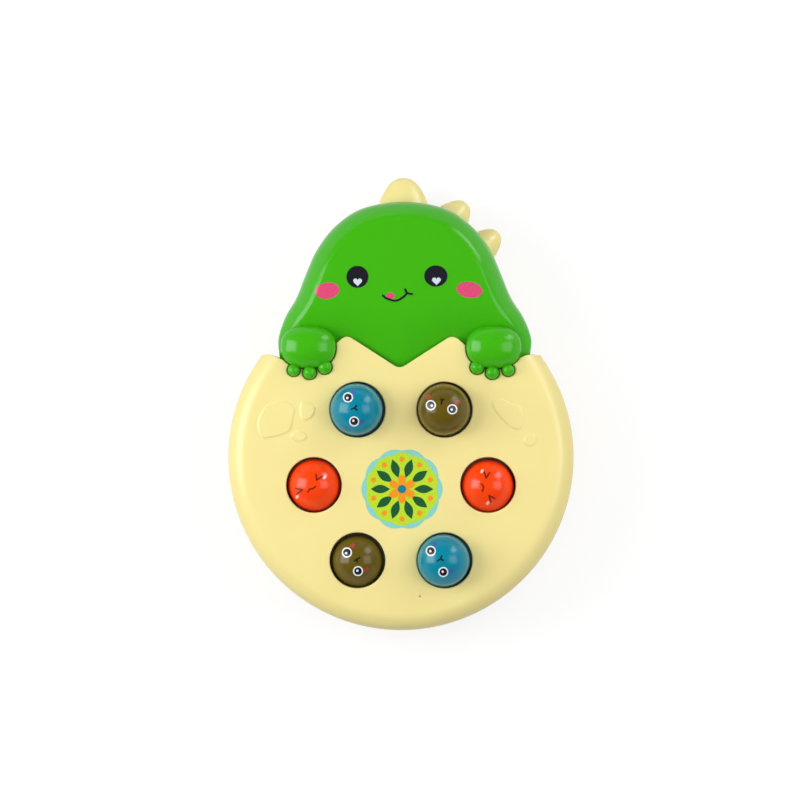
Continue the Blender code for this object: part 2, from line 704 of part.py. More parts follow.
def rocker_pose(angle, lean, ring):
    """An empty on the rocker's pin: its X runs along the arm and its Y along the pin."""
    x, y = polar(PIVOT_RADIUS, angle)
    axis = make_empty("rocker_axis_%d" % angle, (x, y, PIVOT), ring)
    axis.rotation_euler = (0, 0, math.radians(angle + 90))
    return axis


def build_rockers(ring):
    """Three seesaws under the heads: one head of each pair goes up as the other is pressed down."""
    half = RING_RADIUS / 2 + ROCKER_END
    side = ROCKER_WIDTH / 2
    length = ROCKER_WIDTH + 2 * (GAP + EAR_THICKNESS)

    def arm(bm):
        add_box(bm, (-half, -side, -ROCKER_BELOW), (half, side, ROCKER_TOP))

    def lying(radius, width, turns):
        def fill(bm):
            add_turned(bm, ((radius, -width / 2), (radius, width / 2)), turns)
            bmesh.ops.rotate(bm, verts=bm.verts, cent=(0, 0, 0), matrix=Matrix.Rotation(math.radians(90), 3, "X"))

        return fill

    for name, angle, raised_side in ROCKERS:
        axis = rocker_pose(angle, raised_side, ring)
        rocker = make_piece("rocker_" + name, arm, WHITE, axis, turn=(0, -raised_side * TILT, 0))
        hub = make_tool("hub_tool_" + name, lying(ROCKER_HUB_RADIUS, ROCKER_WIDTH - GAP, STEM_TURNS), axis)
        bore = make_tool("bore_tool_" + name, lying(PIN_RADIUS + GAP, length, STEM_TURNS), axis)
        combine(rocker, hub, "UNION")
        combine(rocker, bore, "DIFFERENCE")
        make_piece("rocker_pin_" + name, lying(PIN_RADIUS, length, STEM_TURNS), STEEL, axis)


def build_plate(ring):
    """The plate inside the case: it guides the plungers in six sleeves and carries the rockers' pins in ears."""
    profile = ((PLATE_RADIUS, PLATE_BACK), (PLATE_RADIUS, PLATE_TOP))
    plate = make_piece("mechanism_plate", lambda bm: add_turned(bm, profile, EGG_TURNS), WHITE, ring)
    near = ROCKER_WIDTH / 2 + GAP
    drop = PIVOT - ROCKER_HUB_RADIUS

    def sleeves(bm):
        for i in range(len(HEAD_NAMES)):
            profile = ((SLEEVE_BORE + SLEEVE_WALL, SLEEVE_END), (SLEEVE_BORE + SLEEVE_WALL, PLATE_TOP + SLEEVE_ABOVE))
            add_turned(bm, profile, STEM_TURNS, ring_place(i))

    def bores(bm):
        for i in range(len(HEAD_NAMES)):
            low, high = SLEEVE_END - OVERRUN, PLATE_TOP + SLEEVE_ABOVE + OVERRUN
            add_turned(bm, ((SLEEVE_BORE, low), (SLEEVE_BORE, high)), STEM_TURNS, ring_place(i))
        for place in plate_screw_places():
            low, high = PLATE_BACK - OVERRUN, PLATE_TOP + OVERRUN
            add_turned(bm, ((SCREW_RADIUS + GAP, low), (SCREW_RADIUS + GAP, high)), SCREW_TURNS, place)

    def ears(bm):
        for _, angle, _ in ROCKERS:
            turn = Matrix.Rotation(math.radians(angle), 4, "Z")
            for low in (PIVOT_RADIUS - near - EAR_THICKNESS, PIVOT_RADIUS + near):
                before = len(bm.verts)
                add_box(bm, (low, -EAR_HALF_WIDTH, drop), (low + EAR_THICKNESS, EAR_HALF_WIDTH, PLATE_TOP - GAP))
                bm.verts.ensure_lookup_table()
                bmesh.ops.transform(bm, matrix=turn, verts=bm.verts[before:])

    def pin_bores(bm):
        for _, angle, _ in ROCKERS:
            place = Matrix.Rotation(math.radians(angle), 4, "Z") @ Matrix.Translation((PIVOT_RADIUS, 0, PIVOT))
            turn = Matrix.Rotation(math.radians(90), 4, "Y")
            half = near + EAR_THICKNESS + OVERRUN
            before = len(bm.verts)
            add_turned(bm, ((PIN_RADIUS + GAP, -half), (PIN_RADIUS + GAP, half)), STEM_TURNS)
            bm.verts.ensure_lookup_table()
            bmesh.ops.transform(bm, matrix=place @ turn, verts=bm.verts[before:])

    combine(plate, make_tool("sleeve_tool", sleeves, ring), "UNION")
    combine(plate, make_tool("ear_tool", ears, ring), "UNION")
    combine(plate, make_tool("plate_hole_tool", bores, ring), "DIFFERENCE")
    combine(plate, make_tool("pin_bore_tool", pin_bores, ring), "DIFFERENCE")


def make_copies(name, fill, finish, parent, places):
    """Numbered copies of a small piece, which share one mesh."""
    first = make_piece(name + "_1", fill, finish, parent, (*places[0], 0))
    for i, place in enumerate(places[1:], 2):
        copy = bpy.data.objects.new("%s_%d" % (name, i), first.data)
        bpy.context.scene.collection.objects.link(copy)
        copy.parent = parent
        copy.location = (*place, 0)


def build_screws(egg, ring):
    centre = (0, 0)
    case_places = sum(screw_places(), [])
    make_copies("case_screw", lambda bm: add_screw(bm, centre, SEAT, REAR_SCREW_LENGTH), STEEL, egg, case_places)
    plate_places = plate_screw_places()
    make_copies(
        "plate_screw", lambda bm: add_screw(bm, centre, PLATE_BACK, PLATE_SCREW_LENGTH), STEEL, ring, plate_places
    )


def build_pads(egg):
    """Four soft pads under the back, which keep the toy from sliding as it is struck."""
    places = [(side * across * EGG_RADIUS, up * EGG_RADIUS) for across, up in PAD_SHARES for side in (-1, 1)]
    profile = ((PAD_RADIUS, 0), (PAD_RADIUS, FOOT_HEIGHT))
    make_copies("foot_pad", lambda bm: add_turned(bm, profile, STEM_TURNS), GREY, egg, places)


def main():
    clear_scene()
    egg = make_empty("egg_centre", (0, (EGG_RADIUS - TOP_REACH) / 2, 0))
    ring = make_empty("ring_centre", (0, -RING_DROP, 0), egg)
    crack_tool = build_egg_front(egg, ring)
    build_dino_front(egg)
    build_rear_cover(egg, crack_tool)
    build_heads(ring)
    build_rockers(ring)
    build_plate(ring)
    build_screws(egg, ring)
    build_pads(egg)


main()
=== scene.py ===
"""The looks of a whack-a-mole toy: a young dinosaur in a cracked egg, over six domed heads to push down.

All lengths are in metres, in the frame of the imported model: +Z comes out of the toy's face,
and +Y runs to its crown.
"""

import math

import bpy
import numpy as np
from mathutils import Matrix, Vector
from mathutils.geometry import delaunay_2d_cdt
from mathutils.kdtree import KDTree


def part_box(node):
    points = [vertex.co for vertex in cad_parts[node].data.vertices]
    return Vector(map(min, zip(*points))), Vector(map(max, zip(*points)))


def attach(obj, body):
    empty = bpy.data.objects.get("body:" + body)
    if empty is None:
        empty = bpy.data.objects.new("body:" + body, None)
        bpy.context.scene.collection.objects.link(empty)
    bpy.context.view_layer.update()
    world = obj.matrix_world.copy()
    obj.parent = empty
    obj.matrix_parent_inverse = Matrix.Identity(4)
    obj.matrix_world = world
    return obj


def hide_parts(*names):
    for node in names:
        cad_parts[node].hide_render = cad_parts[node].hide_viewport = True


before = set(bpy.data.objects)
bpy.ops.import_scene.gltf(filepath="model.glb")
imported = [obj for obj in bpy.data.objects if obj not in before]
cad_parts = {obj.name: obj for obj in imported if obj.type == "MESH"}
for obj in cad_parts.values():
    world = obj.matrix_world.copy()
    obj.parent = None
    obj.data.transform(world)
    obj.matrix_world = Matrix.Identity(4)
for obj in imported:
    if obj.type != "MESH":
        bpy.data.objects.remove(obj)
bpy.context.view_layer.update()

# View: a long lens looks straight down on the toy, which lies on its back.
# One pixel of the picture is half a millimetre at the level of the toy's face.
PICTURE = 800
PIXEL = 0.0005
PHOTO_MIDDLE = (401, 404)  # the pixel over the centre of the footprint
FACE_LEVEL = 0.0450
CAMERA_HEIGHT = 3.0


def spot(across, down):
    """The place on the toy under a pixel of the photograph."""
    return np.array(((across - PHOTO_MIDDLE[0]) * PIXEL, (PHOTO_MIDDLE[1] - down) * PIXEL))


def add_object(name, data):
    thing = bpy.data.objects.new(name, data)
    bpy.context.scene.collection.objects.link(thing)
    return thing


view = bpy.data.cameras.new("view")
view.lens = view.sensor_width * (CAMERA_HEIGHT - FACE_LEVEL) / (PICTURE * PIXEL)
view.clip_end = 2 * CAMERA_HEIGHT
camera = add_object("view", view)
camera.location = (*spot(PICTURE / 2, PICTURE / 2), CAMERA_HEIGHT)
bpy.context.scene.camera = camera
bpy.context.scene.view_settings.view_transform = "Standard"

# Studio: a wide soft light from the left, a weaker one from the right and a narrow one behind the right
# shoulder, in a pale room over a plain white floor that keeps a faint shadow.
# Each light has a hotter middle, which shows only in gloss.
LIGHT_DISTANCE = 1.0
LIGHTS = (
    # name, direction towards the light, width, height, power, power of its middle
    ("left_light", (-0.82, 0.10, 0.57), 0.60, 0.76, 6.6, 5.2),
    ("right_light", (0.66, 0.04, 0.75), 0.54, 0.60, 2.6, 2.6),
    ("back_light", (0.66, 0.62, 0.42), 0.36, 0.56, 2.0, 4.0),
)
GLEAM_SHARE = 0.75
ROOM_LIGHT = 0.50
WALLS_END = 0.12  # how far up a reflection looks where pale walls start to turn to dark ceiling
CEILING_START = 0.50
CEILING_LIGHT = 0.06
FLOOR_SIZE = 6.0
FLOOR_SHADE = 0.30
FLOOR_GLOW = 0.74
FLOOR_ROUGHNESS = 0.9


def add_node(tree, kind, inputs=(), **settings):
    """A node with its settings, whose inputs are fed with plain values or with what other nodes give."""
    node = tree.nodes.new(kind)
    for name, value in settings.items():
        setattr(node, name, value)
    for name, value in dict(inputs).items():
        if isinstance(value, bpy.types.NodeSocket):
            tree.links.new(value, node.inputs[name])
        else:
            node.inputs[name].default_value = value
    return node


def maths(tree, operation, *values):
    """What a maths node makes of numbers or of what other nodes give."""
    return add_node(tree, "ShaderNodeMath", enumerate(values), operation=operation).outputs[0]


def split(tree, value):
    """The X, Y and Z of a place or a direction."""
    return add_node(tree, "ShaderNodeSeparateXYZ", {0: value}).outputs


def new_finish(name):
    """A new material, its tree and its shader."""
    material = bpy.data.materials.new(name)
    material.use_nodes = True
    return material, material.node_tree, material.node_tree.nodes["Principled BSDF"]


def add_light(name, towards, width, height, power, gloss_alone=False):
    lamp = bpy.data.lights.new(name, "AREA")
    lamp.shape = "RECTANGLE"
    lamp.size, lamp.size_y = width, height
    lamp.energy = power
    light = add_object(name, lamp)
    direction = Vector(towards).normalized()
    light.location = direction * LIGHT_DISTANCE
    light.rotation_euler = direction.to_track_quat("Z", "Y").to_euler()
    light.visible_diffuse = not gloss_alone


def seen_directly(tree):
    """One for rays from the camera, a reflection or glass, and nought for the light that falls on the toy."""
    path = tree.nodes.new("ShaderNodeLightPath").outputs
    either = maths(tree, "MAXIMUM", path["Is Camera Ray"], path["Is Glossy Ray"])
    return maths(tree, "MAXIMUM", either, path["Is Transmission Ray"])


def light_the_room():
    world = bpy.data.worlds.new("room")
    world.use_nodes = True
    bpy.context.scene.world = world
    tree = world.node_tree
    up = split(tree, tree.nodes.new("ShaderNodeTexCoord").outputs["Generated"])["Z"]
    levels = {"From Min": WALLS_END, "From Max": CEILING_START, "To Min": 1, "To Max": CEILING_LIGHT}
    ceiling = add_node(tree, "ShaderNodeMapRange", {**levels, "Value": up}).outputs["Result"]
    glossy = tree.nodes.new("ShaderNodeLightPath").outputs["Is Glossy Ray"]
    reflected = add_node(tree, "ShaderNodeMix", {"Factor": glossy, "A": 1, "B": ceiling}).outputs["Result"]
    rays = {"Factor": seen_directly(tree), "A": ROOM_LIGHT, "B": reflected}
    strength = add_node(tree, "ShaderNodeMix", rays).outputs["Result"]
    background = tree.nodes["Background"]
    background.inputs["Color"].default_value = (1, 1, 1, 1)
    tree.links.new(strength, background.inputs["Strength"])


def lay_the_floor():
    half = FLOOR_SIZE / 2
    mesh = bpy.data.meshes.new("floor")
    corners = [(-half, -half, 0), (half, -half, 0), (half, half, 0), (-half, half, 0)]
    mesh.from_pydata(corners, [], [(0, 1, 2, 3)])
    floor = add_object("floor", mesh)
    white, tree, paint = new_finish("white_floor")
    paint.inputs["Base Color"].default_value = (FLOOR_SHADE, FLOOR_SHADE, FLOOR_SHADE, 1)
    paint.inputs["Roughness"].default_value = FLOOR_ROUGHNESS
    paint.inputs["Specular IOR Level"].default_value = 0
    paint.inputs["Emission Color"].default_value = (1, 1, 1, 1)
    glow = maths(tree, "MULTIPLY", seen_directly(tree), FLOOR_GLOW)
    tree.links.new(glow, paint.inputs["Emission Strength"])
    mesh.materials.append(white)


for name, towards, width, height, power, gleam in LIGHTS:
    add_light(name, towards, width, height, power)
    add_light(name + "_middle", towards, GLEAM_SHARE * width, GLEAM_SHARE * height, gleam, gloss_alone=True)
light_the_room()
lay_the_floor()

# Egg front: one cream moulding in satin ABS, with a rounded rim, a cracked top edge and six round holes.
# Collars behind the holes guide the heads, bosses take the screws, and the paws lie in notches of its edge.
egg_low, egg_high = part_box("egg_front_shell")
EGG_RADIUS = (egg_high.x - egg_low.x) / 2
EGG_MIDDLE = np.array((0, egg_low.y + EGG_RADIUS))
WALL = 0.0022
GAP = 0.0003
PARTING = 0.0200
FRONT_EDGE = PARTING + GAP
FACE = 0.0460
CROWN = 0.0015
EGG_RIM_WIDTH = 0.0090
EGG_RIM_HEIGHT = 0.0110
RIM_STEPS = 12
EDGE_ROUND = 0.0006
EDGE_STEPS = 5
STEP = 0.00004  # the draft of a wall that stands on a moulding's back
PATH_STEP = 0.0009
CURVE_STEPS = 12
CORNER_STEPS = 16
EGG_SPACING = 0.0022
EGG_TURNS = 360
HOLE_TURNS = 110
PALM_TURNS = 110
COLLAR_TURNS = 72
TOE_TURNS = 40
BOSS_TURNS = 24
VENT_TURNS = 16
SHARP = 40  # degrees
CRACK_SHARES = ((0.000, 0.511), (0.307, 0.709), (0.552, 0.502), (0.739, 0.598), (1.040, 0.570))
CRACK_SHIFT = 0.0007  # towards the left
CRACK_ROUND_SHARE = 0.040
RING_DROP_SHARE = 0.158
RING_SHARE = 0.502
RING_MIDDLE = EGG_MIDDLE - np.array((0, RING_DROP_SHARE * EGG_RADIUS))
RING_RADIUS = RING_SHARE * EGG_RADIUS
HEAD_NAMES = ("right", "top_right", "top_left", "left", "bottom_left", "bottom_right")
HOLE_RADIUS = 0.0139
COLLAR_WALL = 0.0019
COLLAR_DEPTH = 0.0080
BOSS_RADIUS = 0.00365
BORE_RADIUS = 0.00165
CASE_BOSS_END = 0.0123
CASE_BORE_END = 0.0223
EGG_SCREW_ANGLES = (15, 165, 218, 322)
PLATE_SCREW_ANGLES = (90, 210, 330)
PLATE_SCREW_SHARE = 1.05
PLATE_BOSS_END = 0.0328
PLATE_BORE_END = 0.0378
VENT_RADIUS = 0.0004
VENT = spot(420, 596)
PALM_SHARES = (0.535, 0.638)
PALM_HALF = (0.0138, 0.0107, 0.0085)
PALM_SQUARENESS = 2.35
TOE_SHARES = ((0.525, -1.075), (-0.049, -1.191), (-0.598, -0.941))
TOE_RADII = (0.0031, 0.0034, 0.0035)
PAW_CLEARANCE = 0.0004
DRIFT_SCALE = 30  # patches of noise to a metre
SCUFF_SCALE = 420
GLOSS_SCALE = 160
GRAIN_SCALE = 900
GRAIN_STRENGTH = 0.5
GLOSS_SPREAD_SHARE = 0.15
RUBBED_SHARE = 0.10

# Flakes of the shell that stand a little proud of the face, as pixels of the photograph
FLAKE_HEIGHT = 0.0006
FLAKE_EDGE = 0.0005
FLAKE_RING_SHARES = (-1.4, -1, -0.5, 0, 0.5, 1, 1.4)
FLAKES = (
    ((258, 425), (262, 437), (271, 437), (280, 435), (289, 431), (291, 427), (293, 417), (294, 410),
     (290, 404), (280, 402), (268, 405), (262, 412)),
    ((301, 403), (300.5, 410), (301, 416), (304, 420), (311, 417.5), (314, 412.5), (314, 406), (307, 402)),
    ((291, 436), (294, 432.5), (299, 431), (304, 433), (307, 436), (304, 440), (299, 441), (294, 439.5)),
    ((494, 400.6), (502.5, 399.4), (511, 404), (520, 407), (522, 420), (520.6, 427.5), (517.5, 429),
     (511, 427), (504, 420.6), (497, 413), (492.5, 405)),
    ((524, 440), (526.5, 435), (532, 434), (536, 438), (535, 443.5), (530, 446), (525.5, 444)),
)


def turned(radius, degrees, centre=(0, 0)):
    angle = np.radians(degrees)
    return np.array(centre) + radius * np.array((np.cos(angle), np.sin(angle)))


def directions(angles):
    return np.stack((np.cos(angles), np.sin(angles)), axis=1)


def round_path(centre, radius, count):
    """A circle, or an oval where the radius is a pair."""
    return np.array(centre) + radius * directions(np.arange(count) * math.tau / count)


def step_rings(centre, radius, count, step=STEP):
    """Two close rings, between which a wall on a moulding's back stands."""
    return [(round_path(centre, radius + more, count), True) for more in (0, step)]


def anticlockwise(loop):
    return loop if np.cross(loop, np.roll(loop, -1, axis=0)).sum() > 0 else loop[::-1]


def spaced(path, step, closed):
    """The same path with its points about one step apart."""
    if closed:
        path = np.concatenate((path, path[:1]))
    lengths = np.concatenate(([0], np.cumsum(np.linalg.norm(np.diff(path, axis=0), axis=1))))
    count = max(int(round(lengths[-1] / step)), 3)
    marks = np.linspace(0, lengths[-1], count + 1)
    moved_points = np.stack([np.interp(marks, lengths, path[:, i]) for i in (0, 1)], axis=1)
    return moved_points[:-1] if closed else moved_points


def curved(points, step, closed):
    """A smooth curve through the points, with its points about one step apart."""
    points = np.array(points, float)
    if closed:
        padded = np.concatenate((points[-1:], points, points[:2]))
    else:
        padded = np.concatenate((2 * points[:1] - points[1:2], points, 2 * points[-1:] - points[-2:-1]))
    t = np.linspace(0, 1, CURVE_STEPS, endpoint=False)[:, None]
    runs = []
    for before, start, end, after in zip(padded, padded[1:], padded[2:], padded[3:]):
        bend = (2 * before - 5 * start + 4 * end - after) * t**2
        twist = (3 * start - before - 3 * end + after) * t**3
        runs.append((2 * start + (end - before) * t + bend + twist) / 2)
    if not closed:
        runs.append(points[-1:])
    return spaced(np.concatenate(runs), step, closed)


def cornered(points, reach, step):
    """Straight runs with corners rounded over the given reach, about one step between points."""
    points = np.array(points, float)
    runs = [points[:1]]
    t = np.linspace(0, 1, CORNER_STEPS)[:, None]
    for before, corner, after in zip(points, points[1:], points[2:]):
        start = corner + (before - corner) / np.linalg.norm(before - corner) * reach
        end = corner + (after - corner) / np.linalg.norm(after - corner) * reach
        runs.append(start * (1 - t) ** 2 + 2 * corner * t * (1 - t) + end * t**2)
    runs.append(points[-1:])
    return spaced(np.concatenate(runs), step, False)


def moved(path, distance, closed):
    """The path moved to its left, which is inwards for an outline that runs anticlockwise."""
    if closed:
        ahead = np.roll(path, -1, axis=0) - np.roll(path, 1, axis=0)
    else:
        ahead = np.gradient(path, axis=0)
    ahead /= np.linalg.norm(ahead, axis=1)[:, None]
    return path + distance * np.stack((-ahead[:, 1], ahead[:, 0]), axis=1)


def tree_of(path):
    tree = KDTree(len(path))
    for i, (x, y) in enumerate(path):
        tree.insert((x, y, 0), i)
    tree.balance()
    return tree


def distance_to(spots, path, closed):
    """Distance from each spot to the nearest point of a path with close corners."""
    tree = tree_of(path)
    nearest = np.array([tree.find((x, y, 0))[1] for x, y in spots])
    best = np.full(len(spots), np.inf)
    for step in (-1, 0):
        first = nearest + step
        if not closed:
            first = np.clip(first, 0, len(path) - 2)
        start = path[first % len(path)]
        along = path[(first + 1) % len(path)] - start
        share = np.clip(((spots - start) * along).sum(axis=1) / (along**2).sum(axis=1), 0, 1)
        best = np.minimum(best, length_of(spots - start - share[:, None] * along))
    return best


def within(spots, loop):
    """Whether each spot lies inside the closed loop."""
    low, high = loop.min(axis=0), loop.max(axis=0)
    near = np.flatnonzero(((spots >= low) & (spots <= high)).all(axis=1))
    x, y = spots[near].T
    odd = np.zeros(len(near), bool)
    for (x0, y0), (x1, y1) in zip(loop, np.roll(loop, -1, axis=0)):
        if y0 != y1:
            odd ^= ((y0 > y) != (y1 > y)) & (x < (x1 - x0) * (y - y0) / (y1 - y0) + x0)
    inside = np.zeros(len(spots), bool)
    inside[near] = odd
    return inside


def length_of(offsets):
    return np.linalg.norm(offsets, axis=1)


def filler_spots(low, high, spacing):
    """Spots in a triangular pattern over a rectangle."""
    rows = np.arange(low[1], high[1], spacing * math.sqrt(3) / 2)
    columns = np.arange(low[0], high[0], spacing)
    shifts = np.where(np.arange(len(rows)) % 2, spacing / 2, 0)
    return np.array([(x + shift, y) for y, shift in zip(rows, shifts) for x in columns])


def moulding(paths, keep, top, under, spacing):
    """Corners and faces of a closed moulding between two heights, in triangles that follow all the paths."""
    corners, edges = [], []
    for path, closed in paths:
        first = len(corners)
        corners.extend(path)
        edges += [(first + i, first + i + 1) for i in range(len(path) - 1)]
        if closed:
            edges.append((first + len(path) - 1, first))
    corners = np.array(corners)
    tree = tree_of(corners)
    filler = filler_spots(corners.min(axis=0), corners.max(axis=0), spacing)
    clear = [tree.find((x, y, 0))[2] > spacing / 2 for x, y in filler]
    corners = np.concatenate((corners, filler[clear]))
    flat, _, faces, *_ = delaunay_2d_cdt([Vector(c) for c in corners], edges, [], 0, 1e-8)
    flat = np.array([tuple(v) for v in flat])
    faces = np.array([face for face in faces if len(face) == 3])
    faces = faces[keep(flat[faces].mean(axis=1))]
    used, faces = np.unique(faces, return_inverse=True)
    faces = faces.reshape(-1, 3)
    flat = flat[used]
    turn = np.cross(flat[faces[:, 1]] - flat[faces[:, 0]], flat[faces[:, 2]] - flat[faces[:, 0]])
    faces[turn < 0] = faces[turn < 0][:, ::-1]
    count = len(flat)
    directed = {(a, b) for face in faces.tolist() for a, b in zip(face, face[1:] + face[:1])}
    walls = [(a, a + count, b + count, b) for a, b in directed if (b, a) not in directed]
    solid = np.concatenate((np.column_stack((flat, top(flat))), np.column_stack((flat, under(flat)))))
    return solid, faces.tolist() + (faces[:, ::-1] + count).tolist() + sorted(walls)


def shade(mesh):
    """Smooth all over, but for edges that turn more than the sharp angle."""
    mesh.shade_smooth()
    mesh.set_sharp_from_angle(angle=math.radians(SHARP))


def build(name, parts):
    """One object from several solids, each with its corners, faces and material."""
    corners, faces, slots, materials = [], [], [], []
    for solid, part_faces, material in parts:
        if material not in materials:
            materials.append(material)
        first = sum(len(c) for c in corners)
        corners.append(solid)
        faces += [tuple(first + i for i in face) for face in part_faces]
        slots += [materials.index(material)] * len(part_faces)
    mesh = bpy.data.meshes.new(name)
    mesh.from_pydata(np.concatenate(corners).tolist(), [], faces)
    for material in materials:
        mesh.materials.append(material)
    mesh.polygons.foreach_set("material_index", slots)
    shade(mesh)
    return add_object(name, mesh)


def set_wear(piece, values):
    """Stores how much each corner of a piece is rubbed, from 0 to 1."""
    wear = piece.data.attributes.new("wear", "FLOAT", "POINT")
    wear.data.foreach_set("value", values.astype(np.float32))


def rounded(depth, radius):
    """How far a rounded edge lies below its face, at a depth inside the edge."""
    inside = np.clip(depth, 0, radius)
    return radius - np.sqrt(radius**2 - (radius - inside) ** 2)


def rim_rise(depth, width):
    """Rise of an elliptical rim, from 0 at the outline to 1 at its inner end."""
    share = np.clip(depth / width, 0, 1)
    return np.sqrt(1 - (1 - share) ** 2)


def rim_depths(width, steps):
    return [width * (1 - math.cos(math.radians(90 * i / steps))) for i in range(steps + 1)]


def linear(red, green, blue):
    """A colour as a screen shows it, from 0 to 255, turned into light."""
    shares = [channel / 255 for channel in (red, green, blue)]
    return [s / 12.92 if s <= 0.04045 else ((s + 0.055) / 1.055) ** 2.4 for s in shares]


def noise(tree, scale, detail=2):
    """Soft patches that stay where they are on the piece."""
    place = tree.nodes.new("ShaderNodeTexCoord").outputs["Object"]
    inputs = {"Scale": scale, "Detail": detail, "Vector": place}
    return add_node(tree, "ShaderNodeTexNoise", inputs).outputs["Fac"]


def ranged(tree, value, low, high):
    inputs = {"To Min": low, "To Max": high, "Value": value}
    return add_node(tree, "ShaderNodeMapRange", inputs).outputs["Result"]


def blended(tree, share, first, second):
    inputs = {"Factor": share, "A": first, "B": second}
    return add_node(tree, "ShaderNodeMix", inputs, data_type="RGBA").outputs["Result"]


def add_grain(tree, shader, height, depth, strength=1):
    bump = add_node(tree, "ShaderNodeBump", {"Distance": depth, "Strength": strength, "Height": height})
    tree.links.new(bump.outputs["Normal"], shader.inputs["Normal"])


def moulded_plastic(name, colour, roughness, grain, specular=0.5, drift=0.03):
    """Injection-moulded plastic: a slight drift of colour, a fine grain, and edges rubbed paler."""
    material, tree, shader = new_finish(name)
    shader.inputs["Specular IOR Level"].default_value = specular
    darker = (*[c * (1 - drift) for c in colour], 1)
    paler = (*[min(c * (1 + drift), 1) for c in colour], 1)
    rubbed = (*[c + (1 - c) * RUBBED_SHARE for c in colour], 1)
    wear = add_node(tree, "ShaderNodeAttribute", attribute_name="wear").outputs["Fac"]
    scuffs = maths(tree, "MULTIPLY", wear, noise(tree, SCUFF_SCALE, 4))
    tint = blended(tree, noise(tree, DRIFT_SCALE), darker, paler)
    tree.links.new(blended(tree, scuffs, tint, rubbed), shader.inputs["Base Color"])
    low, high = roughness * (1 - GLOSS_SPREAD_SHARE), roughness * (1 + GLOSS_SPREAD_SHARE)
    tree.links.new(ranged(tree, noise(tree, GLOSS_SCALE, 3), low, high), shader.inputs["Roughness"])
    add_grain(tree, shader, noise(tree, GRAIN_SCALE, 3), grain, GRAIN_STRENGTH)
    return material


def crack_path():
    half = [EGG_RADIUS * np.array(share) for share in CRACK_SHARES]
    mirrored = [point * (-1, 1) for point in reversed(half[1:])]
    edge = cornered([*mirrored, *half], CRACK_ROUND_SHARE * EGG_RADIUS, PATH_STEP)
    return EGG_MIDDLE + edge - np.array((CRACK_SHIFT, 0))


def paw_places():
    """Centres of the palms, and centres and radii of their toes."""
    palms, toes = [], []
    for side in (-1, 1):
        palm = EGG_MIDDLE + EGG_RADIUS * np.array((side * PALM_SHARES[0], PALM_SHARES[1]))
        palms.append(palm)
        for (across, up), radius in zip(TOE_SHARES, TOE_RADII):
            toes.append((palm + np.array((side * across * PALM_HALF[0], up * PALM_HALF[1])), radius))
    return palms, toes


def palm_path(palm, beyond):
    """The palm's outline, between an oval and a rectangle, at a distance beyond its edge."""
    circle = directions(np.arange(PALM_TURNS) * math.tau / PALM_TURNS)
    squared = np.sign(circle) * np.abs(circle) ** (2 / PALM_SQUARENESS)
    return palm + (np.array(PALM_HALF[:2]) + beyond) * squared


def egg_face(spots):
    """Height of the egg's face without its edges."""
    reach = length_of(spots - EGG_MIDDLE)
    crown = FACE + CROWN * (1 - (reach / EGG_RADIUS) ** 2)
    shoulder = FACE - EGG_RIM_HEIGHT
    return shoulder + (crown - shoulder) * rim_rise(EGG_RADIUS - reach, EGG_RIM_WIDTH)


cream_plastic = moulded_plastic(
    "cream_plastic", linear(243, 227, 150), roughness=0.36, grain=0.00003, specular=0.35
)
crack = crack_path()
crack_space = np.concatenate((crack, [(crack[-1][0], EGG_RADIUS), (crack[0][0], EGG_RADIUS)]))
palms, toes = paw_places()
head_places = [turned(RING_RADIUS, 60 * i, RING_MIDDLE) for i in range(len(HEAD_NAMES))]
EGG_SCREW_RADIUS = EGG_RADIUS - EGG_RIM_WIDTH - BOSS_RADIUS
egg_screws = [turned(EGG_SCREW_RADIUS, angle, EGG_MIDDLE) for angle in EGG_SCREW_ANGLES]
plate_screws = [turned(PLATE_SCREW_SHARE * RING_RADIUS, angle, RING_MIDDLE) for angle in PLATE_SCREW_ANGLES]
plate_screws.append(RING_MIDDLE)
flakes = [anticlockwise(curved([spot(*pixel) for pixel in flake], PATH_STEP, True)) for flake in FLAKES]
notches = [palm_path(palm, PAW_CLEARANCE) for palm in palms]
notches += [round_path(toe, radius + PAW_CLEARANCE, TOE_TURNS) for toe, radius in toes]
holes = [round_path(place, HOLE_RADIUS, HOLE_TURNS) for place in head_places]


def egg_kept(spots):
    kept = (length_of(spots - EGG_MIDDLE) < EGG_RADIUS) & ~within(spots, crack_space)
    for loop in notches + holes:
        kept &= ~within(spots, loop)
    return kept & (length_of(spots - VENT) > VENT_RADIUS)


def egg_edge_depth(spots):
    """Distance to the nearest cut edge of the egg's face."""
    depth = distance_to(spots, crack, False)
    for notch in notches:
        depth = np.minimum(depth, distance_to(spots, notch, True))
    for place in head_places:
        depth = np.minimum(depth, np.abs(length_of(spots - place) - HOLE_RADIUS))
    return depth


def flake_rise(spots):
    rise = np.zeros(len(spots))
    for flake in flakes:
        depth = distance_to(spots, flake, True) * np.where(within(spots, flake), 1, -1)
        share = np.clip((depth + FLAKE_EDGE) / (2 * FLAKE_EDGE), 0, 1)
        rise = np.maximum(rise, share**2 * (3 - 2 * share))
    return FLAKE_HEIGHT * rise


def egg_top(spots):
    return egg_face(spots) - rounded(egg_edge_depth(spots), EDGE_ROUND) + flake_rise(spots)


def stepped(heights, spots, places, radius, level):
    """The same heights, but one level inside a radius round each place."""
    for place in places:
        heights = np.where(length_of(spots - place) < radius + STEP / 2, level, heights)
    return heights


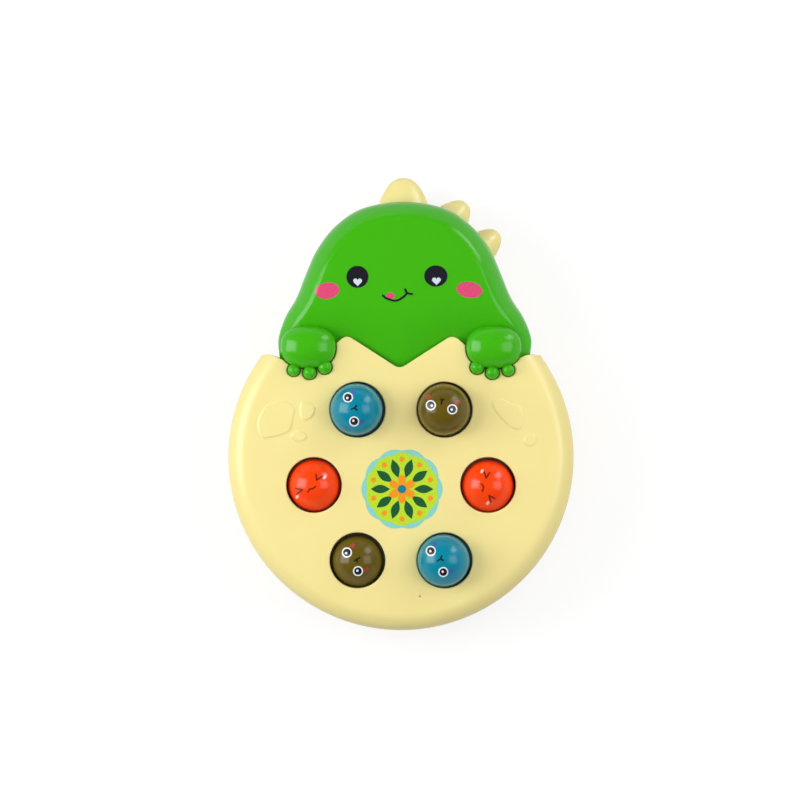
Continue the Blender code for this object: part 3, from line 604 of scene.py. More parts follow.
def egg_under(spots):
    reach = length_of(spots - EGG_MIDDLE)
    depth = EGG_RADIUS - WALL - reach
    shoulder = FACE - EGG_RIM_HEIGHT
    crown = FACE + CROWN * (1 - (reach / EGG_RADIUS) ** 2) - WALL
    inner = shoulder + (crown - shoulder) * rim_rise(depth, EGG_RIM_WIDTH - WALL)
    heights = np.where(depth > STEP / 2, inner, FRONT_EDGE)
    heights = stepped(heights, spots, head_places, HOLE_RADIUS + COLLAR_WALL, FACE - WALL - COLLAR_DEPTH)
    for places, boss_end, bore_end in (
        (egg_screws, CASE_BOSS_END, CASE_BORE_END),
        (plate_screws, PLATE_BOSS_END, PLATE_BORE_END),
    ):
        heights = stepped(heights, spots, places, BOSS_RADIUS, boss_end)
        heights = stepped(heights, spots, places, BORE_RADIUS, bore_end)
    return heights


def boss_paths(places):
    paths = []
    for place in places:
        paths += step_rings(place, BORE_RADIUS, BOSS_TURNS) + step_rings(place, BOSS_RADIUS, BOSS_TURNS)
    return paths


def egg_paths():
    rim = rim_depths(EGG_RIM_WIDTH, RIM_STEPS)
    paths = [(round_path(EGG_MIDDLE, EGG_RADIUS - depth, EGG_TURNS), True) for depth in rim]
    paths += step_rings(EGG_MIDDLE, EGG_RADIUS - WALL, EGG_TURNS, -STEP)
    for depth in rim_depths(EDGE_ROUND, EDGE_STEPS) + [2 * EDGE_ROUND]:
        paths.append((moved(crack, -depth, False), False))
        paths += [(palm_path(palm, PAW_CLEARANCE + depth), True) for palm in palms]
        paths += [(round_path(toe, radius + PAW_CLEARANCE + depth, TOE_TURNS), True) for toe, radius in toes]
        paths += [(round_path(place, HOLE_RADIUS + depth, HOLE_TURNS), True) for place in head_places]
    for place in head_places:
        paths += step_rings(place, HOLE_RADIUS + COLLAR_WALL, COLLAR_TURNS)
    paths += boss_paths(egg_screws + plate_screws)
    for flake in flakes:
        paths += [(moved(flake, share * FLAKE_EDGE, True), True) for share in FLAKE_RING_SHARES]
    paths.append((round_path(VENT, VENT_RADIUS, VENT_TURNS), True))
    return paths


solid, faces = moulding(egg_paths(), egg_kept, egg_top, egg_under, EGG_SPACING)
egg_front = build("egg_front", [(solid, faces, cream_plastic)])
set_wear(egg_front, np.exp(-egg_edge_depth(solid[:, :2]) / EDGE_ROUND))
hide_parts("egg_front_shell")
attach(egg_front, "case")

# Dinosaur front: head and shoulders in one glossy green moulding, with a soft ridge inside its outline.
# It passes under the cracked edge of the egg, and its two paws come up over that edge.
HEAD_LENGTH = 0.1283
HEAD_OFFSET = 0.00125
HEM_OVERLAP = 0.0030
HEAD_FACE = FACE + 0.0045
TUCK = FACE - WALL - GAP
HEAD_SHOULDER = 0.0340
RIDGE_DEPTH = 0.0075
RIDGE_LEVEL = 0.0482
FACE_FALL = 0.0200
RIDGE_BLEND = 0.0017
FOLD = 0.0540  # where the chest starts to fall towards the egg
SHOULDER_BULGE = (0.0014, 0.0310, 0.0170)  # on the right only: how far, at which height, over what length
TOE_LIFT = 0.0010
WALL_DRAFT = 0.0005  # how far a case wall leans from its edge to its root
HEAD_SPACING = 0.0022
HEAD_OUTLINE_SHARES = (
    (0.600, 0.231), (0.695, 0.342), (0.724, 0.429), (0.718, 0.483), (0.681, 0.553),
    (0.620, 0.624), (0.565, 0.717), (0.502, 0.811), (0.395, 0.904), (0.237, 0.974),
)
HEAD_RINGS = (0, 0.00005, 0.0002, 0.00045, 0.0008, 0.00125, 0.0018, 0.00245, 0.0032, 0.0040, 0.0049, 0.0057,
              0.0063, 0.0068, 0.0072, 0.0076, 0.0080, 0.0085, 0.0092, 0.0102, 0.0116)
HEAD_SCREW_SHARES = ((0.200, 0.876), (0.450, 0.667))
HEM = EGG_MIDDLE[1] + CRACK_SHARES[0][1] * EGG_RADIUS - HEM_OVERLAP
HEAD_MIDDLE = EGG_MIDDLE + np.array((HEAD_OFFSET, 0))

half = [np.array((across * EGG_RADIUS, up * HEAD_LENGTH)) for across, up in HEAD_OUTLINE_SHARES]
mirrored = [point * (-1, 1) for point in reversed(half)]
head_outline = HEAD_MIDDLE + curved([*half, (0, HEAD_LENGTH), *mirrored], PATH_STEP, False)
bulge, bulge_height, bulge_length = SHOULDER_BULGE
swell = bulge * np.exp(-(((head_outline[:, 1] - bulge_height) / bulge_length) ** 2))
head_outline[:, 0] += np.where(head_outline[:, 0] > HEAD_MIDDLE[0], swell, 0)
head_outline = spaced(head_outline, PATH_STEP, True)
head_screws = [HEAD_MIDDLE + np.array((side * across * EGG_RADIUS, up * HEAD_LENGTH))
               for across, up in HEAD_SCREW_SHARES for side in (-1, 1)]


def head_depth(spots):
    return distance_to(spots, head_outline, True) * np.where(within(spots, head_outline), 1, -1)


def head_profile(depth):
    """Height at a depth inside the outline: a steep side, a soft ridge and a gently domed face."""
    side = HEAD_SHOULDER + (RIDGE_LEVEL - HEAD_SHOULDER) * np.sqrt(np.clip(depth, 0, None) / RIDGE_DEPTH)
    inner = RIDGE_LEVEL + (HEAD_FACE - RIDGE_LEVEL) * (1 - np.exp(-(depth - RIDGE_DEPTH) / FACE_FALL))
    share = np.clip(0.5 + (inner - side) / (2 * RIDGE_BLEND), 0, 1)
    return inner + (side - inner) * share - RIDGE_BLEND * share * (1 - share)


def chest_end(spots):
    """Height of the cracked edge in front of the chest, level beyond its two peaks."""
    across = np.clip(spots[:, 0], -CRACK_SHARES[1][0] * EGG_RADIUS, CRACK_SHARES[1][0] * EGG_RADIUS)
    return np.interp(across, crack[:, 0], crack[:, 1])


def tucked(spots, heights):
    """The same heights, falling ever more from the chest's fold down to pass under the egg's cracked edge."""
    end = chest_end(spots)
    share = np.clip((spots[:, 1] - end) / (FOLD - end), 0, 1)
    kept = (TUCK - HEAD_SHOULDER) / (HEAD_FACE - HEAD_SHOULDER)
    return HEAD_SHOULDER + (heights - HEAD_SHOULDER) * (kept + (1 - kept) * (1 - (1 - share) ** 2))


def head_kept(spots):
    return within(spots, head_outline) & (spots[:, 1] > HEM)


def head_top(spots):
    return tucked(spots, head_profile(head_depth(spots)))


def head_under(spots):
    depth = head_depth(spots) - WALL
    heights = np.where(depth > WALL_DRAFT / 2, tucked(spots, head_profile(depth)) - WALL, FRONT_EDGE)
    heights = stepped(heights, spots, head_screws, BOSS_RADIUS, CASE_BOSS_END)
    return stepped(heights, spots, head_screws, BORE_RADIUS, CASE_BORE_END)


def head_paths():
    paths = [(moved(head_outline, depth, True), True) for depth in HEAD_RINGS]
    paths += [(moved(head_outline, WALL + step, True), True) for step in (0, WALL_DRAFT)]
    paths += boss_paths(head_screws)
    paths.append((spaced(np.array(((-EGG_RADIUS, HEM), (EGG_RADIUS, HEM))), PATH_STEP, False), False))
    return paths


def blob(centre, half_sizes, turns, squareness=2):
    """A closed egg-shaped body, as corners and faces, squarer in plan where that is asked for."""
    rows = turns // 2
    tilts = np.arange(1, rows) * math.pi / rows
    circle = directions(np.arange(turns) * math.tau / turns)
    circle = np.sign(circle) * np.abs(circle) ** (2 / squareness)
    ring = np.array([(math.sin(t) * x, math.sin(t) * y, math.cos(t)) for t in tilts for x, y in circle])
    corners = np.concatenate((ring, [(0, 0, 1), (0, 0, -1)])) * half_sizes + np.array(centre)
    faces = []
    for row in range(rows - 2):
        for i in range(turns):
            j = (i + 1) % turns
            faces.append((row * turns + i, (row + 1) * turns + i, (row + 1) * turns + j, row * turns + j))
    last = (rows - 2) * turns
    top, low = len(ring), len(ring) + 1
    faces += [(top, i, (i + 1) % turns) for i in range(turns)]
    faces += [(low, last + (i + 1) % turns, last + i) for i in range(turns)]
    return corners, faces


def make_plain(piece):
    """Puts what the modifiers make of a piece in its mesh, and drops them."""
    bpy.context.view_layer.update()
    result = bpy.data.meshes.new_from_object(piece.evaluated_get(bpy.context.evaluated_depsgraph_get()))
    piece.modifiers.clear()
    piece.data = result


def join(piece, tool, operation):
    """Joins the tool to the piece, or cuts it out, and keeps the plain result."""
    change = piece.modifiers.new("change", "BOOLEAN")
    change.operation = operation
    change.solver = "MANIFOLD"
    change.object = tool
    make_plain(piece)
    bpy.data.objects.remove(tool)
    return piece


green_plastic = moulded_plastic(
    "green_plastic", linear(64, 179, 15), roughness=0.17, grain=0.00001, specular=0.28, drift=0.02
)
palm_bodies = [blob((*palm, FACE), PALM_HALF, 96, PALM_SQUARENESS) for palm in palms]
paws = build("paws", [(*body, green_plastic) for body in palm_bodies])
toe_tips = [blob((*toe, FACE + TOE_LIFT), (radius, radius, radius), 48) for toe, radius in toes]
join(paws, build("toes", [(*tip, green_plastic) for tip in toe_tips]), "UNION")
head_solid = moulding(head_paths(), head_kept, head_top, head_under, HEAD_SPACING)
dino_front = join(build("dino_front", [(*head_solid, green_plastic)]), paws, "UNION")
dino_front.data.name = "dino_front"
shade(dino_front.data)
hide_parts("dino_front_shell")
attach(dino_front, "case")

# Rear cover: one cream tray behind egg and dinosaur, with a rounded rim and three blunt spikes down the back.
# Eight screws from behind close the case: each has a sink in the tray's back and a post inside.
REAR_BACK = 0.0015
REAR_RIM_WIDTH = 0.0085
REAR_RIM_HEIGHT = 0.0095
REAR_RIM_STEPS = 10
REAR_BEARINGS = 720
POST_TURNS = 40
POST_TOP = 0.0120
POST_RADIUS = 0.0050
SINK_RADIUS = 0.0030
SEAT = 0.0080
SPIKE_PLACE_SHARES = ((0.000, 0.994), (0.295, 0.946), (0.477, 0.838))
SPIKE_LEAN = (90, 46, 40)
SPIKE_HALF_WIDTHS = (0.0125, 0.0083, 0.0078)
SPIKE_HEIGHTS = (0.0133, 0.0091, 0.0087)
SPIKE_HALF_DEPTH = 0.0080
SPIKE_MIDDLE = PARTING - SPIKE_HALF_DEPTH / 2
SPIKE_FOOT_SHARE = 0.50
SPIKE_FOOT_WIDTH_SHARE = 1.08
REAR_SPACING = 0.0030
SPIKE_BLUNTNESS = 0.80
SPIKE_ROWS = 28
SPIKE_TURNS = 48

case_screws = egg_screws + head_screws


def reach_towards(path, angles, beyond):
    """How far the path lies from the egg's centre in each direction."""
    offsets = path - EGG_MIDDLE
    bearings = np.arctan2(offsets[:, 1], offsets[:, 0])
    order = np.argsort(bearings)
    return np.interp(angles, bearings[order], length_of(offsets)[order], left=beyond, right=beyond)


# Outline of head and cracked egg together, as seen from the egg's centre
angles = np.linspace(-math.pi, math.pi, REAR_BEARINGS, endpoint=False)
egg_reach = np.minimum(reach_towards(crack, angles, EGG_RADIUS), EGG_RADIUS)
head_rim = head_outline[head_outline[:, 1] > head_outline[:, 1].min() + PATH_STEP]
rear_reach = np.maximum(egg_reach, reach_towards(head_rim, angles, 0))
rear_outline = EGG_MIDDLE + rear_reach[:, None] * directions(angles)
rear_outline = spaced(rear_outline, PATH_STEP, True)


def rear_rise(depth, width, height):
    """How far the rounded rim of the tray stands above its back."""
    return height * (1 - rim_rise(depth, width))


def rear_kept(spots):
    kept = within(spots, rear_outline)
    for place in case_screws:
        kept &= length_of(spots - place) > BORE_RADIUS
    return kept


def rear_inside(spots):
    depth = distance_to(spots, rear_outline, True) - WALL
    floor_level = REAR_BACK + WALL + rear_rise(depth, REAR_RIM_WIDTH - WALL, REAR_RIM_HEIGHT - WALL)
    heights = np.where(depth > WALL_DRAFT / 2, floor_level, PARTING)
    return stepped(heights, spots, case_screws, POST_RADIUS, POST_TOP)


def rear_outside(spots):
    heights = REAR_BACK + rear_rise(distance_to(spots, rear_outline, True), REAR_RIM_WIDTH, REAR_RIM_HEIGHT)
    return stepped(heights, spots, case_screws, SINK_RADIUS, SEAT)


def rear_paths():
    paths = [(moved(rear_outline, depth, True), True) for depth in rim_depths(REAR_RIM_WIDTH, REAR_RIM_STEPS)]
    paths += [(moved(rear_outline, WALL + step, True), True) for step in (0, WALL_DRAFT)]
    for place in case_screws:
        paths += step_rings(place, POST_RADIUS, POST_TURNS) + step_rings(place, SINK_RADIUS, POST_TURNS)
        paths.append((round_path(place, BORE_RADIUS, BOSS_TURNS), True))
    return paths


def spike(place_shares, lean, half_width, height):
    """A blunt spike of oval section, closed at its foot inside the tray and domed at its tip."""
    foot = HEAD_MIDDLE + np.array(place_shares) * (EGG_RADIUS, HEAD_LENGTH)
    out = turned(1, lean)
    across = np.array((-out[1], out[0]))
    swing = np.linspace(0, math.pi / 2, SPIKE_ROWS)
    rows = [(-SPIKE_FOOT_SHARE, SPIKE_FOOT_WIDTH_SHARE)]
    rows += [(math.sin(s) ** 2, math.cos(s) ** SPIKE_BLUNTNESS) for s in swing[:-1]]
    angles = np.arange(SPIKE_TURNS) * math.tau / SPIKE_TURNS
    corners = []
    for along, wide in rows:
        middle = foot + out * height * along
        for angle in angles:
            side = middle + across * half_width * wide * math.cos(angle)
            corners.append((*side, SPIKE_MIDDLE + SPIKE_HALF_DEPTH * wide * math.sin(angle)))
    corners.append((*(foot + out * height), SPIKE_MIDDLE))
    faces = [tuple(range(SPIKE_TURNS))]
    for row in range(len(rows) - 1):
        for i in range(SPIKE_TURNS):
            j = (i + 1) % SPIKE_TURNS
            above = (row + 1) * SPIKE_TURNS
            faces.append((row * SPIKE_TURNS + j, row * SPIKE_TURNS + i, above + i, above + j))
    last = (len(rows) - 1) * SPIKE_TURNS
    faces += [(last + (i + 1) % SPIKE_TURNS, last + i, len(corners) - 1) for i in range(SPIKE_TURNS)]
    return np.array(corners), faces


def prism(loop, low, high):
    """A straight-sided body over a loop that runs anticlockwise."""
    count = len(loop)
    levels = [np.column_stack((loop, np.full(count, level))) for level in (low, high)]
    corners = np.concatenate(levels)
    faces = [tuple(range(count))[::-1], tuple(range(count, 2 * count))]
    faces += [(i, (i + 1) % count, (i + 1) % count + count, i + count) for i in range(count)]
    return corners, faces


rear_solid = moulding(rear_paths(), rear_kept, rear_inside, rear_outside, REAR_SPACING)
rear_cover = build("rear_case", [(*rear_solid, cream_plastic)])
spikes = [spike(*values) for values in zip(SPIKE_PLACE_SHARES, SPIKE_LEAN, SPIKE_HALF_WIDTHS, SPIKE_HEIGHTS)]
join(rear_cover, build("spikes", [(*body, cream_plastic) for body in spikes]), "UNION")
head_room = prism(moved(head_outline, -GAP, True), PARTING, HEAD_FACE)
join(rear_cover, build("head_room", [(*head_room, cream_plastic)]), "DIFFERENCE")
head_space = prism(moved(head_outline, 2 * WALL, True), POST_TOP + GAP, HEAD_FACE)
join(rear_cover, build("head_space", [(*head_space, cream_plastic)]), "DIFFERENCE")
rear_cover.data.name = "rear_case"
shade(rear_cover.data)
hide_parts("rear_cover")
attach(rear_cover, "case")

# Head caps: six hollow domes in gloss ABS, two of each colour, each with a socket over its plunger's stem.
# All are one shape, turned about its axis from the socket out to the skirt and up over the dome.
CAP_RADIUS = 0.0130
CAP_HEIGHT = 0.0115
CAP_SKIRT = 0.0085
CAP_WALL = 0.0018
CAP_TURNS = 96
CAP_STEPS = 24
SHOULDER_WIDTH = 0.0004
SHOULDER_DROP = 0.0005
SOCKET_BORE = 0.0048
SOCKET_RADIUS = 0.0062
SOCKET_DROP = 0.0010
STEM_REACH = 0.0080
CAP_COLOURS = {"blue": (0, 133, 158), "olive": (99, 83, 16), "orange": (252, 67, 4)}
CAP_PLACES = dict(zip(HEAD_NAMES, ("orange", "olive", "blue", "orange", "olive", "blue")))
CAP_LEANS = {
    # how far each head rests to one side of its hole
    "right": (0, -0.00055), "top_right": (-0.00030, 0), "top_left": (-0.00055, 0.00005),
    "left": (0, -0.00015), "bottom_left": (-0.00015, -0.00045), "bottom_right": (-0.00055, -0.00005),
}


def combined(tree, **axes):
    """A place, size or turn from those of its X, Y and Z that aren't nought."""
    return add_node(tree, "ShaderNodeCombineXYZ", axes).outputs[0]


def round_about(tree, reach, angle, **height):
    """The place at a reach and an angle round the Z axis."""
    across = maths(tree, "MULTIPLY", reach, maths(tree, "COSINE", angle))
    along = maths(tree, "MULTIPLY", reach, maths(tree, "SINE", angle))
    return combined(tree, X=across, Y=along, **height)


def new_tree(name, inputs):
    """A node tree with named inputs, and what they give."""
    tree = bpy.data.node_groups.new(name, "GeometryNodeTree")
    for label, kind in inputs.items():
        tree.interface.new_socket(label, in_out="INPUT", socket_type="NodeSocket" + kind)
    tree.interface.new_socket("Parts", in_out="OUTPUT", socket_type="NodeSocketGeometry")
    return tree, tree.nodes.new("NodeGroupInput").outputs


def end_tree(tree, geometry, material):
    """Makes the copies real and gives them their material."""
    real = add_node(tree, "GeometryNodeRealizeInstances", {"Geometry": geometry}).outputs["Geometry"]
    finish = add_node(tree, "GeometryNodeSetMaterial", {"Geometry": real, "Material": material})
    tree.links.new(finish.outputs["Geometry"], tree.nodes.new("NodeGroupOutput").inputs["Parts"])


def cross_cut(tree, body, given):
    """Cuts two crossed slots for a driver into the body's low end."""
    cut = add_node(tree, "GeometryNodeMeshBoolean", {"Mesh 1": body}, operation="DIFFERENCE")
    double = maths(tree, "MULTIPLY", given["Drive Depth"], 2)
    for across, along in (("Drive Reach", "Drive Width"), ("Drive Width", "Drive Reach")):
        size = combined(tree, X=given[across], Y=given[along], Z=double)
        slot = add_node(tree, "GeometryNodeMeshCube", {"Size": size}).outputs["Mesh"]
        level = combined(tree, Z=given["Drive Level"])
        lowered = add_node(tree, "GeometryNodeTransform", {"Geometry": slot, "Translation": level})
        tree.links.new(lowered.outputs["Geometry"], cut.inputs["Mesh 2"])
    return cut.outputs["Mesh"]


def turned_tree(name, driven=False):
    """Node tree that turns a profile about the Z axis and sets a copy at each place.

    The drawing holds the profile's corners in X and Z first, then the places.
    """
    inputs = {"Drawing": "Geometry", "Corners": "Int", "Turns": "Int", "Finish": "Material"}
    if driven:
        inputs.update({"Drive " + part: "Float" for part in ("Reach", "Width", "Depth", "Level")})
    tree, given = new_tree(name, inputs)
    index = tree.nodes.new("GeometryNodeInputIndex").outputs[0]
    position = tree.nodes.new("GeometryNodeInputPosition").outputs[0]
    profile = {"Geometry": given["Drawing"], "Selection": maths(tree, "LESS_THAN", index, given["Corners"])}
    chosen = add_node(tree, "GeometryNodeSeparateGeometry", profile).outputs
    columns = maths(tree, "ADD", given["Turns"], 1)
    size = {"Size X": 1, "Size Y": 1, "Vertices X": columns, "Vertices Y": given["Corners"]}
    grid = add_node(tree, "GeometryNodeMeshGrid", size).outputs["Mesh"]
    here = split(tree, position)
    angle = maths(tree, "MULTIPLY", maths(tree, "ADD", here["X"], 0.5), math.tau)
    last = maths(tree, "SUBTRACT", given["Corners"], 1)
    row = maths(tree, "ROUND", maths(tree, "MULTIPLY", maths(tree, "ADD", here["Y"], 0.5), last))
    corners = {"Geometry": chosen["Selection"], "Value": position, "Index": row}
    drawn = add_node(tree, "GeometryNodeSampleIndex", corners, data_type="FLOAT_VECTOR")
    corner = split(tree, drawn.outputs["Value"])
    swept = {"Geometry": grid, "Position": round_about(tree, corner["X"], angle, Z=corner["Z"])}
    turn = add_node(tree, "GeometryNodeSetPosition", swept).outputs["Geometry"]
    sewn = {"Distance": STEP / 10, "Geometry": turn}
    body = add_node(tree, "GeometryNodeMergeByDistance", sewn).outputs["Geometry"]
    if driven:
        body = cross_cut(tree, body, given)
    copies = add_node(tree, "GeometryNodeInstanceOnPoints", {"Points": chosen["Inverted"], "Instance": body})
    end_tree(tree, copies.outputs["Instances"], given["Finish"])
    return tree


def grown(name, mesh, tree, values):
    """The plain mesh that a node tree makes of a drawing."""
    piece = add_object(name, mesh)
    modifier = piece.modifiers.new(tree.name, "NODES")
    modifier.node_group = tree
    for item in tree.interface.items_tree:
        if item.in_out == "INPUT" and item.name in values:
            modifier[item.identifier] = values[item.name]
    make_plain(piece)
    piece.data.name = name
    shade(piece.data)
    return piece


def turned_parts(name, profile, places, tree, turns, finish, **drive):
    """Parts of one profile, given as radius and height, that stand at the places."""
    corners = [(radius, 0, height) for radius, height in profile]
    mesh = bpy.data.meshes.new(name)
    mesh.from_pydata(corners + [tuple(place) for place in places], [], [])
    values = {"Corners": len(corners), "Turns": turns, "Finish": finish}
    values.update({"Drive " + part.capitalize(): value for part, value in drive.items()})
    return grown(name, mesh, tree, values)


def cap_profile():
    """From the floor of the socket, out under the dome, round the skirt's edge and up over the dome."""
    inner = CAP_RADIUS - CAP_WALL
    inner_height = CAP_HEIGHT - CAP_WALL
    meet = math.asin(SOCKET_RADIUS / inner)
    profile = [(0, STEM_REACH + GAP), (SOCKET_BORE, STEM_REACH + GAP), (SOCKET_BORE, -SOCKET_DROP)]
    profile += [(SOCKET_RADIUS, -SOCKET_DROP)]
    for i in range(CAP_STEPS // 2 + 1):
        swing = meet + (math.pi / 2 - meet) * i / (CAP_STEPS // 2)
        profile.append((inner * math.sin(swing), inner_height * math.cos(swing)))
    profile += [(inner, -CAP_SKIRT), (CAP_RADIUS - SHOULDER_WIDTH / 2, -CAP_SKIRT)]
    profile += [(CAP_RADIUS, SHOULDER_WIDTH / 2 - CAP_SKIRT), (CAP_RADIUS, -SHOULDER_DROP - SHOULDER_WIDTH)]
    profile += [(CAP_RADIUS - SHOULDER_WIDTH / 4, -SHOULDER_DROP - SHOULDER_WIDTH / 4)]
    profile += [(CAP_RADIUS - SHOULDER_WIDTH, -SHOULDER_DROP)]
    dome = CAP_RADIUS - SHOULDER_WIDTH
    for i in range(CAP_STEPS + 1):
        swing = math.pi / 2 * (1 - i / CAP_STEPS)
        profile.append((dome * math.sin(swing), CAP_HEIGHT * math.cos(swing)))
    return profile


turned_part = turned_tree("turned_part")
cap_finishes = {
    name: moulded_plastic(
        name + "_plastic", linear(*colour), roughness=0.18, grain=0.000008, specular=0.3, drift=0.02
    )
    for name, colour in CAP_COLOURS.items()
}
profile = cap_profile()
cap_rims = {}
for name, place in zip(HEAD_NAMES, head_places):
    colour = CAP_PLACES[name]
    cap_rims[name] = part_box("head_cap_" + name)[0].z + CAP_SKIRT
    place += np.array(CAP_LEANS[name])  # the printed faces below use the same places
    foot = (*place, cap_rims[name])
    cap = turned_parts("cap_" + name, profile, [foot], turned_part, CAP_TURNS, cap_finishes[colour])
    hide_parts("head_cap_" + name)
    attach(cap, "head_" + name)

# Faces printed on the heads: squeezed eyes and tears on the orange ones, round eyes on the others.
# Each is pad-printed in a few inks on the dome, and turned its own way. Places are pixels of the photograph.
INK_DEPTH = 0.00015
INK_LAYER = 0.00005
INK_SPACING = 0.0006
INK_STEP = 0.00025
INK_ROUGHNESS = (0.20, 0.34)
SPECKLE_SCALE = 2600
EYE_RADIUS = 0.00255
PUPIL_RADIUS = 0.00188
GLINT_RADIUS = 0.00062
STROKE = 0.00078
BLUSH = (0.0015, 0.0011)
TEAR = (0.0011, 0.0007)
INK_COLOURS = {
    "white": (236, 240, 242), "black": (22, 22, 34), "dark_red": (120, 18, 8), "tear": (255, 190, 175),
    "blush_blue": (62, 92, 170), "blush_olive": (158, 62, 40), "pink": (222, 70, 118),
    "glint": (206, 222, 230), "lime": (190, 224, 40), "sea": (140, 212, 200), "leaf": (22, 92, 48),
    "flower": (250, 150, 20), "teal": (10, 128, 142),
}
ROUND_FACES = {
    # eyes, glints, mouth as three short strokes from one place, blushes
    "top_left": (
        ((348.2, 397.4), (354.4, 421.3)), ((347.6, 398.0), (353.6, 420.6)),
        (354.9, 408.0), ((351.8, 409.0), (356.6, 405.4), (357.2, 410.1)), ((353.9, 391.9), (361.8, 421.9)),
    ),
    "top_right": (
        ((430.6, 405.2), (452.0, 409.2)), ((431.6, 405.5), (451.4, 409.4)),
        (441.9, 400.6), ((441.0, 403.8), (443.6, 399.2), (440.6, 398.9)), ((428.0, 396.8), (457.0, 402.4)),
    ),
    "bottom_left": (
        ((347.0, 552.2), (358.1, 570.7)), ((346.2, 552.8), (357.5, 570.2)),
        (357.1, 558.6), ((354.8, 560.4), (359.8, 557.0), (357.2, 561.4)), ((352.2, 545.6), (366.4, 569.3)),
    ),
    "bottom_right": (
        ((430.6, 550.2), (443.0, 571.1)), ((430.2, 550.4), (442.4, 570.7)),
        (440.2, 558.0), ((437.2, 560.0), (441.4, 555.2), (443.0, 559.6)), ((434.6, 543.4), (450.4, 570.2)),
    ),
}
SQUEEZED_FACES = {
    # strokes of the eyes and of the mouth, tears
    "left": (
        (((295.8, 488.2), (302.5, 489.6), (296.7, 494.0)), ((316.3, 474.4), (316.8, 479.8), (322.5, 475.8))),
        ((308.2, 491.6), (310.4, 488.8), (313.0, 488.4), (315.6, 486.2)), ((297.3, 496.6), (324.6, 477.2)),
    ),
    "right": (
        (((484.0, 471.5), (485.9, 477.8), (489.3, 472.5)), ((494.6, 498.4), (488.8, 495.2), (490.6, 501.6))),
        ((481.1, 483.5), (483.4, 486.8), (482.1, 491.1)), ((481.8, 471.0), (487.6, 502.9)),
    ),
}


def printed_ink(name, colour):
    """Opaque gloss ink, a little uneven where the pad laid it."""
    material, tree, shader = new_finish(name + "_ink")
    speckle = noise(tree, SPECKLE_SCALE)
    darker = (*[c * 0.90 for c in colour], 1)
    paler = (*[min(c * 1.08 + 0.002, 1) for c in colour], 1)
    tree.links.new(blended(tree, speckle, darker, paler), shader.inputs["Base Color"])
    tree.links.new(ranged(tree, speckle, *INK_ROUGHNESS), shader.inputs["Roughness"])
    return material


def dot(centre, radii, tilt=0):
    """An oval, turned by a tilt in degrees."""
    loop = round_path((0, 0), radii, max(int(math.tau * np.max(radii) / INK_STEP), 16))
    turn = math.radians(tilt)
    across, up = np.array((math.cos(turn), math.sin(turn))), np.array((-math.sin(turn), math.cos(turn)))
    return np.array(centre) + loop[:, :1] * across + loop[:, 1:] * up


def stroke(points, width):
    """A line of ink with round ends."""
    path = curved(points, INK_STEP, False)
    left, right = moved(path, width / 2, False), moved(path, -width / 2, False)
    ends = []
    for side, middle in ((right[-1], path[-1]), (left[0], path[0])):
        start = math.atan2(*(side - middle)[::-1])
        swing = start + np.linspace(0, math.pi, 7)[1:-1]
        ends.append(middle + width / 2 * directions(swing))
    return np.concatenate((right, ends[0], left[::-1], ends[1]))


def print_marks(name, body, marks, surface):
    """Lays inks on a surface, each as a thin closed body that follows it, over the layers before."""
    parts = []
    for loop, layer, ink in marks:
        solid = moulding(
            [(loop, True)],
            lambda spots: within(spots, loop),
            lambda spots: surface(spots) + layer * INK_LAYER,
            lambda spots: surface(spots) - INK_DEPTH,
            INK_SPACING,
        )
        parts.append((*solid, inks[ink]))
    piece = build(name, parts)
    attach(piece, body)
    return piece


def dome_of(name, place):
    dome = CAP_RADIUS - SHOULDER_WIDTH

    def height(spots):
        share = np.clip(length_of(spots - place) / dome, 0, 1)
        return cap_rims[name] + CAP_HEIGHT * np.sqrt(1 - share**2)

    return height


inks = {name: printed_ink(name, linear(*colour)) for name, colour in INK_COLOURS.items()}
for name, place in zip(HEAD_NAMES, head_places):
    marks = []
    if name in ROUND_FACES:
        eyes, glints, middle, tips, blushes = ROUND_FACES[name]
        for eye, glint in zip(eyes, glints):
            marks += [(dot(spot(*eye), EYE_RADIUS), 1, "white"), (dot(spot(*eye), PUPIL_RADIUS), 2, "black")]
            marks.append((dot(spot(*glint), GLINT_RADIUS), 3, "white"))
        for layer, tip in enumerate(tips, 1):
            marks.append((stroke([spot(*middle), spot(*tip)], STROKE), layer, "black"))
        for blush in blushes:
            marks.append((dot(spot(*blush), BLUSH, 25), 1, "blush_" + CAP_PLACES[name]))
    else:
        eyes, mouth, tears = SQUEEZED_FACES[name]
        for first, corner, last in eyes:
            marks.append((stroke([spot(*first), spot(*corner)], STROKE), 1, "dark_red"))
            marks.append((stroke([spot(*corner), spot(*last)], STROKE), 2, "dark_red"))
        marks.append((stroke([spot(*pixel) for pixel in mouth], STROKE), 1, "dark_red"))
        for tear in tears:
            marks.append((dot(spot(*tear), TEAR, 60), 1, "tear"))
    print_marks("face_" + name, "head_" + name, marks, dome_of(name, place))

# Dinosaur's printed face: black eyes with a pale heart as the glint, pink cheeks, and a smile
# with a small tongue. The inks lie on the green moulding.
HEART_HALF_WIDTH = 0.0022
SMILE_WIDTH = 0.00105
EYES = (
    # middle, half sizes, middle of the glint
    ((357.5, 277.0), (0.0055, 0.0055), (357.7, 282.0)),
    ((435.8, 276.2), (0.0058, 0.0053), (436.4, 281.0)),
)
BLUSHES = (((327.2, 290.9), (0.0061, 0.0041), 8), ((469.4, 290.0), (0.0065, 0.0040), -8))
SMILE = ((382.8, 295.7), (387.1, 298.8), (395.7, 300.9), (403.0, 297.4), (406.9, 293.3))
SMILE_TICK = ((405.2, 289.5), (407.2, 293.2), (412.0, 294.3))
TONGUE = ((390.5, 296.0), (0.0022, 0.0016))


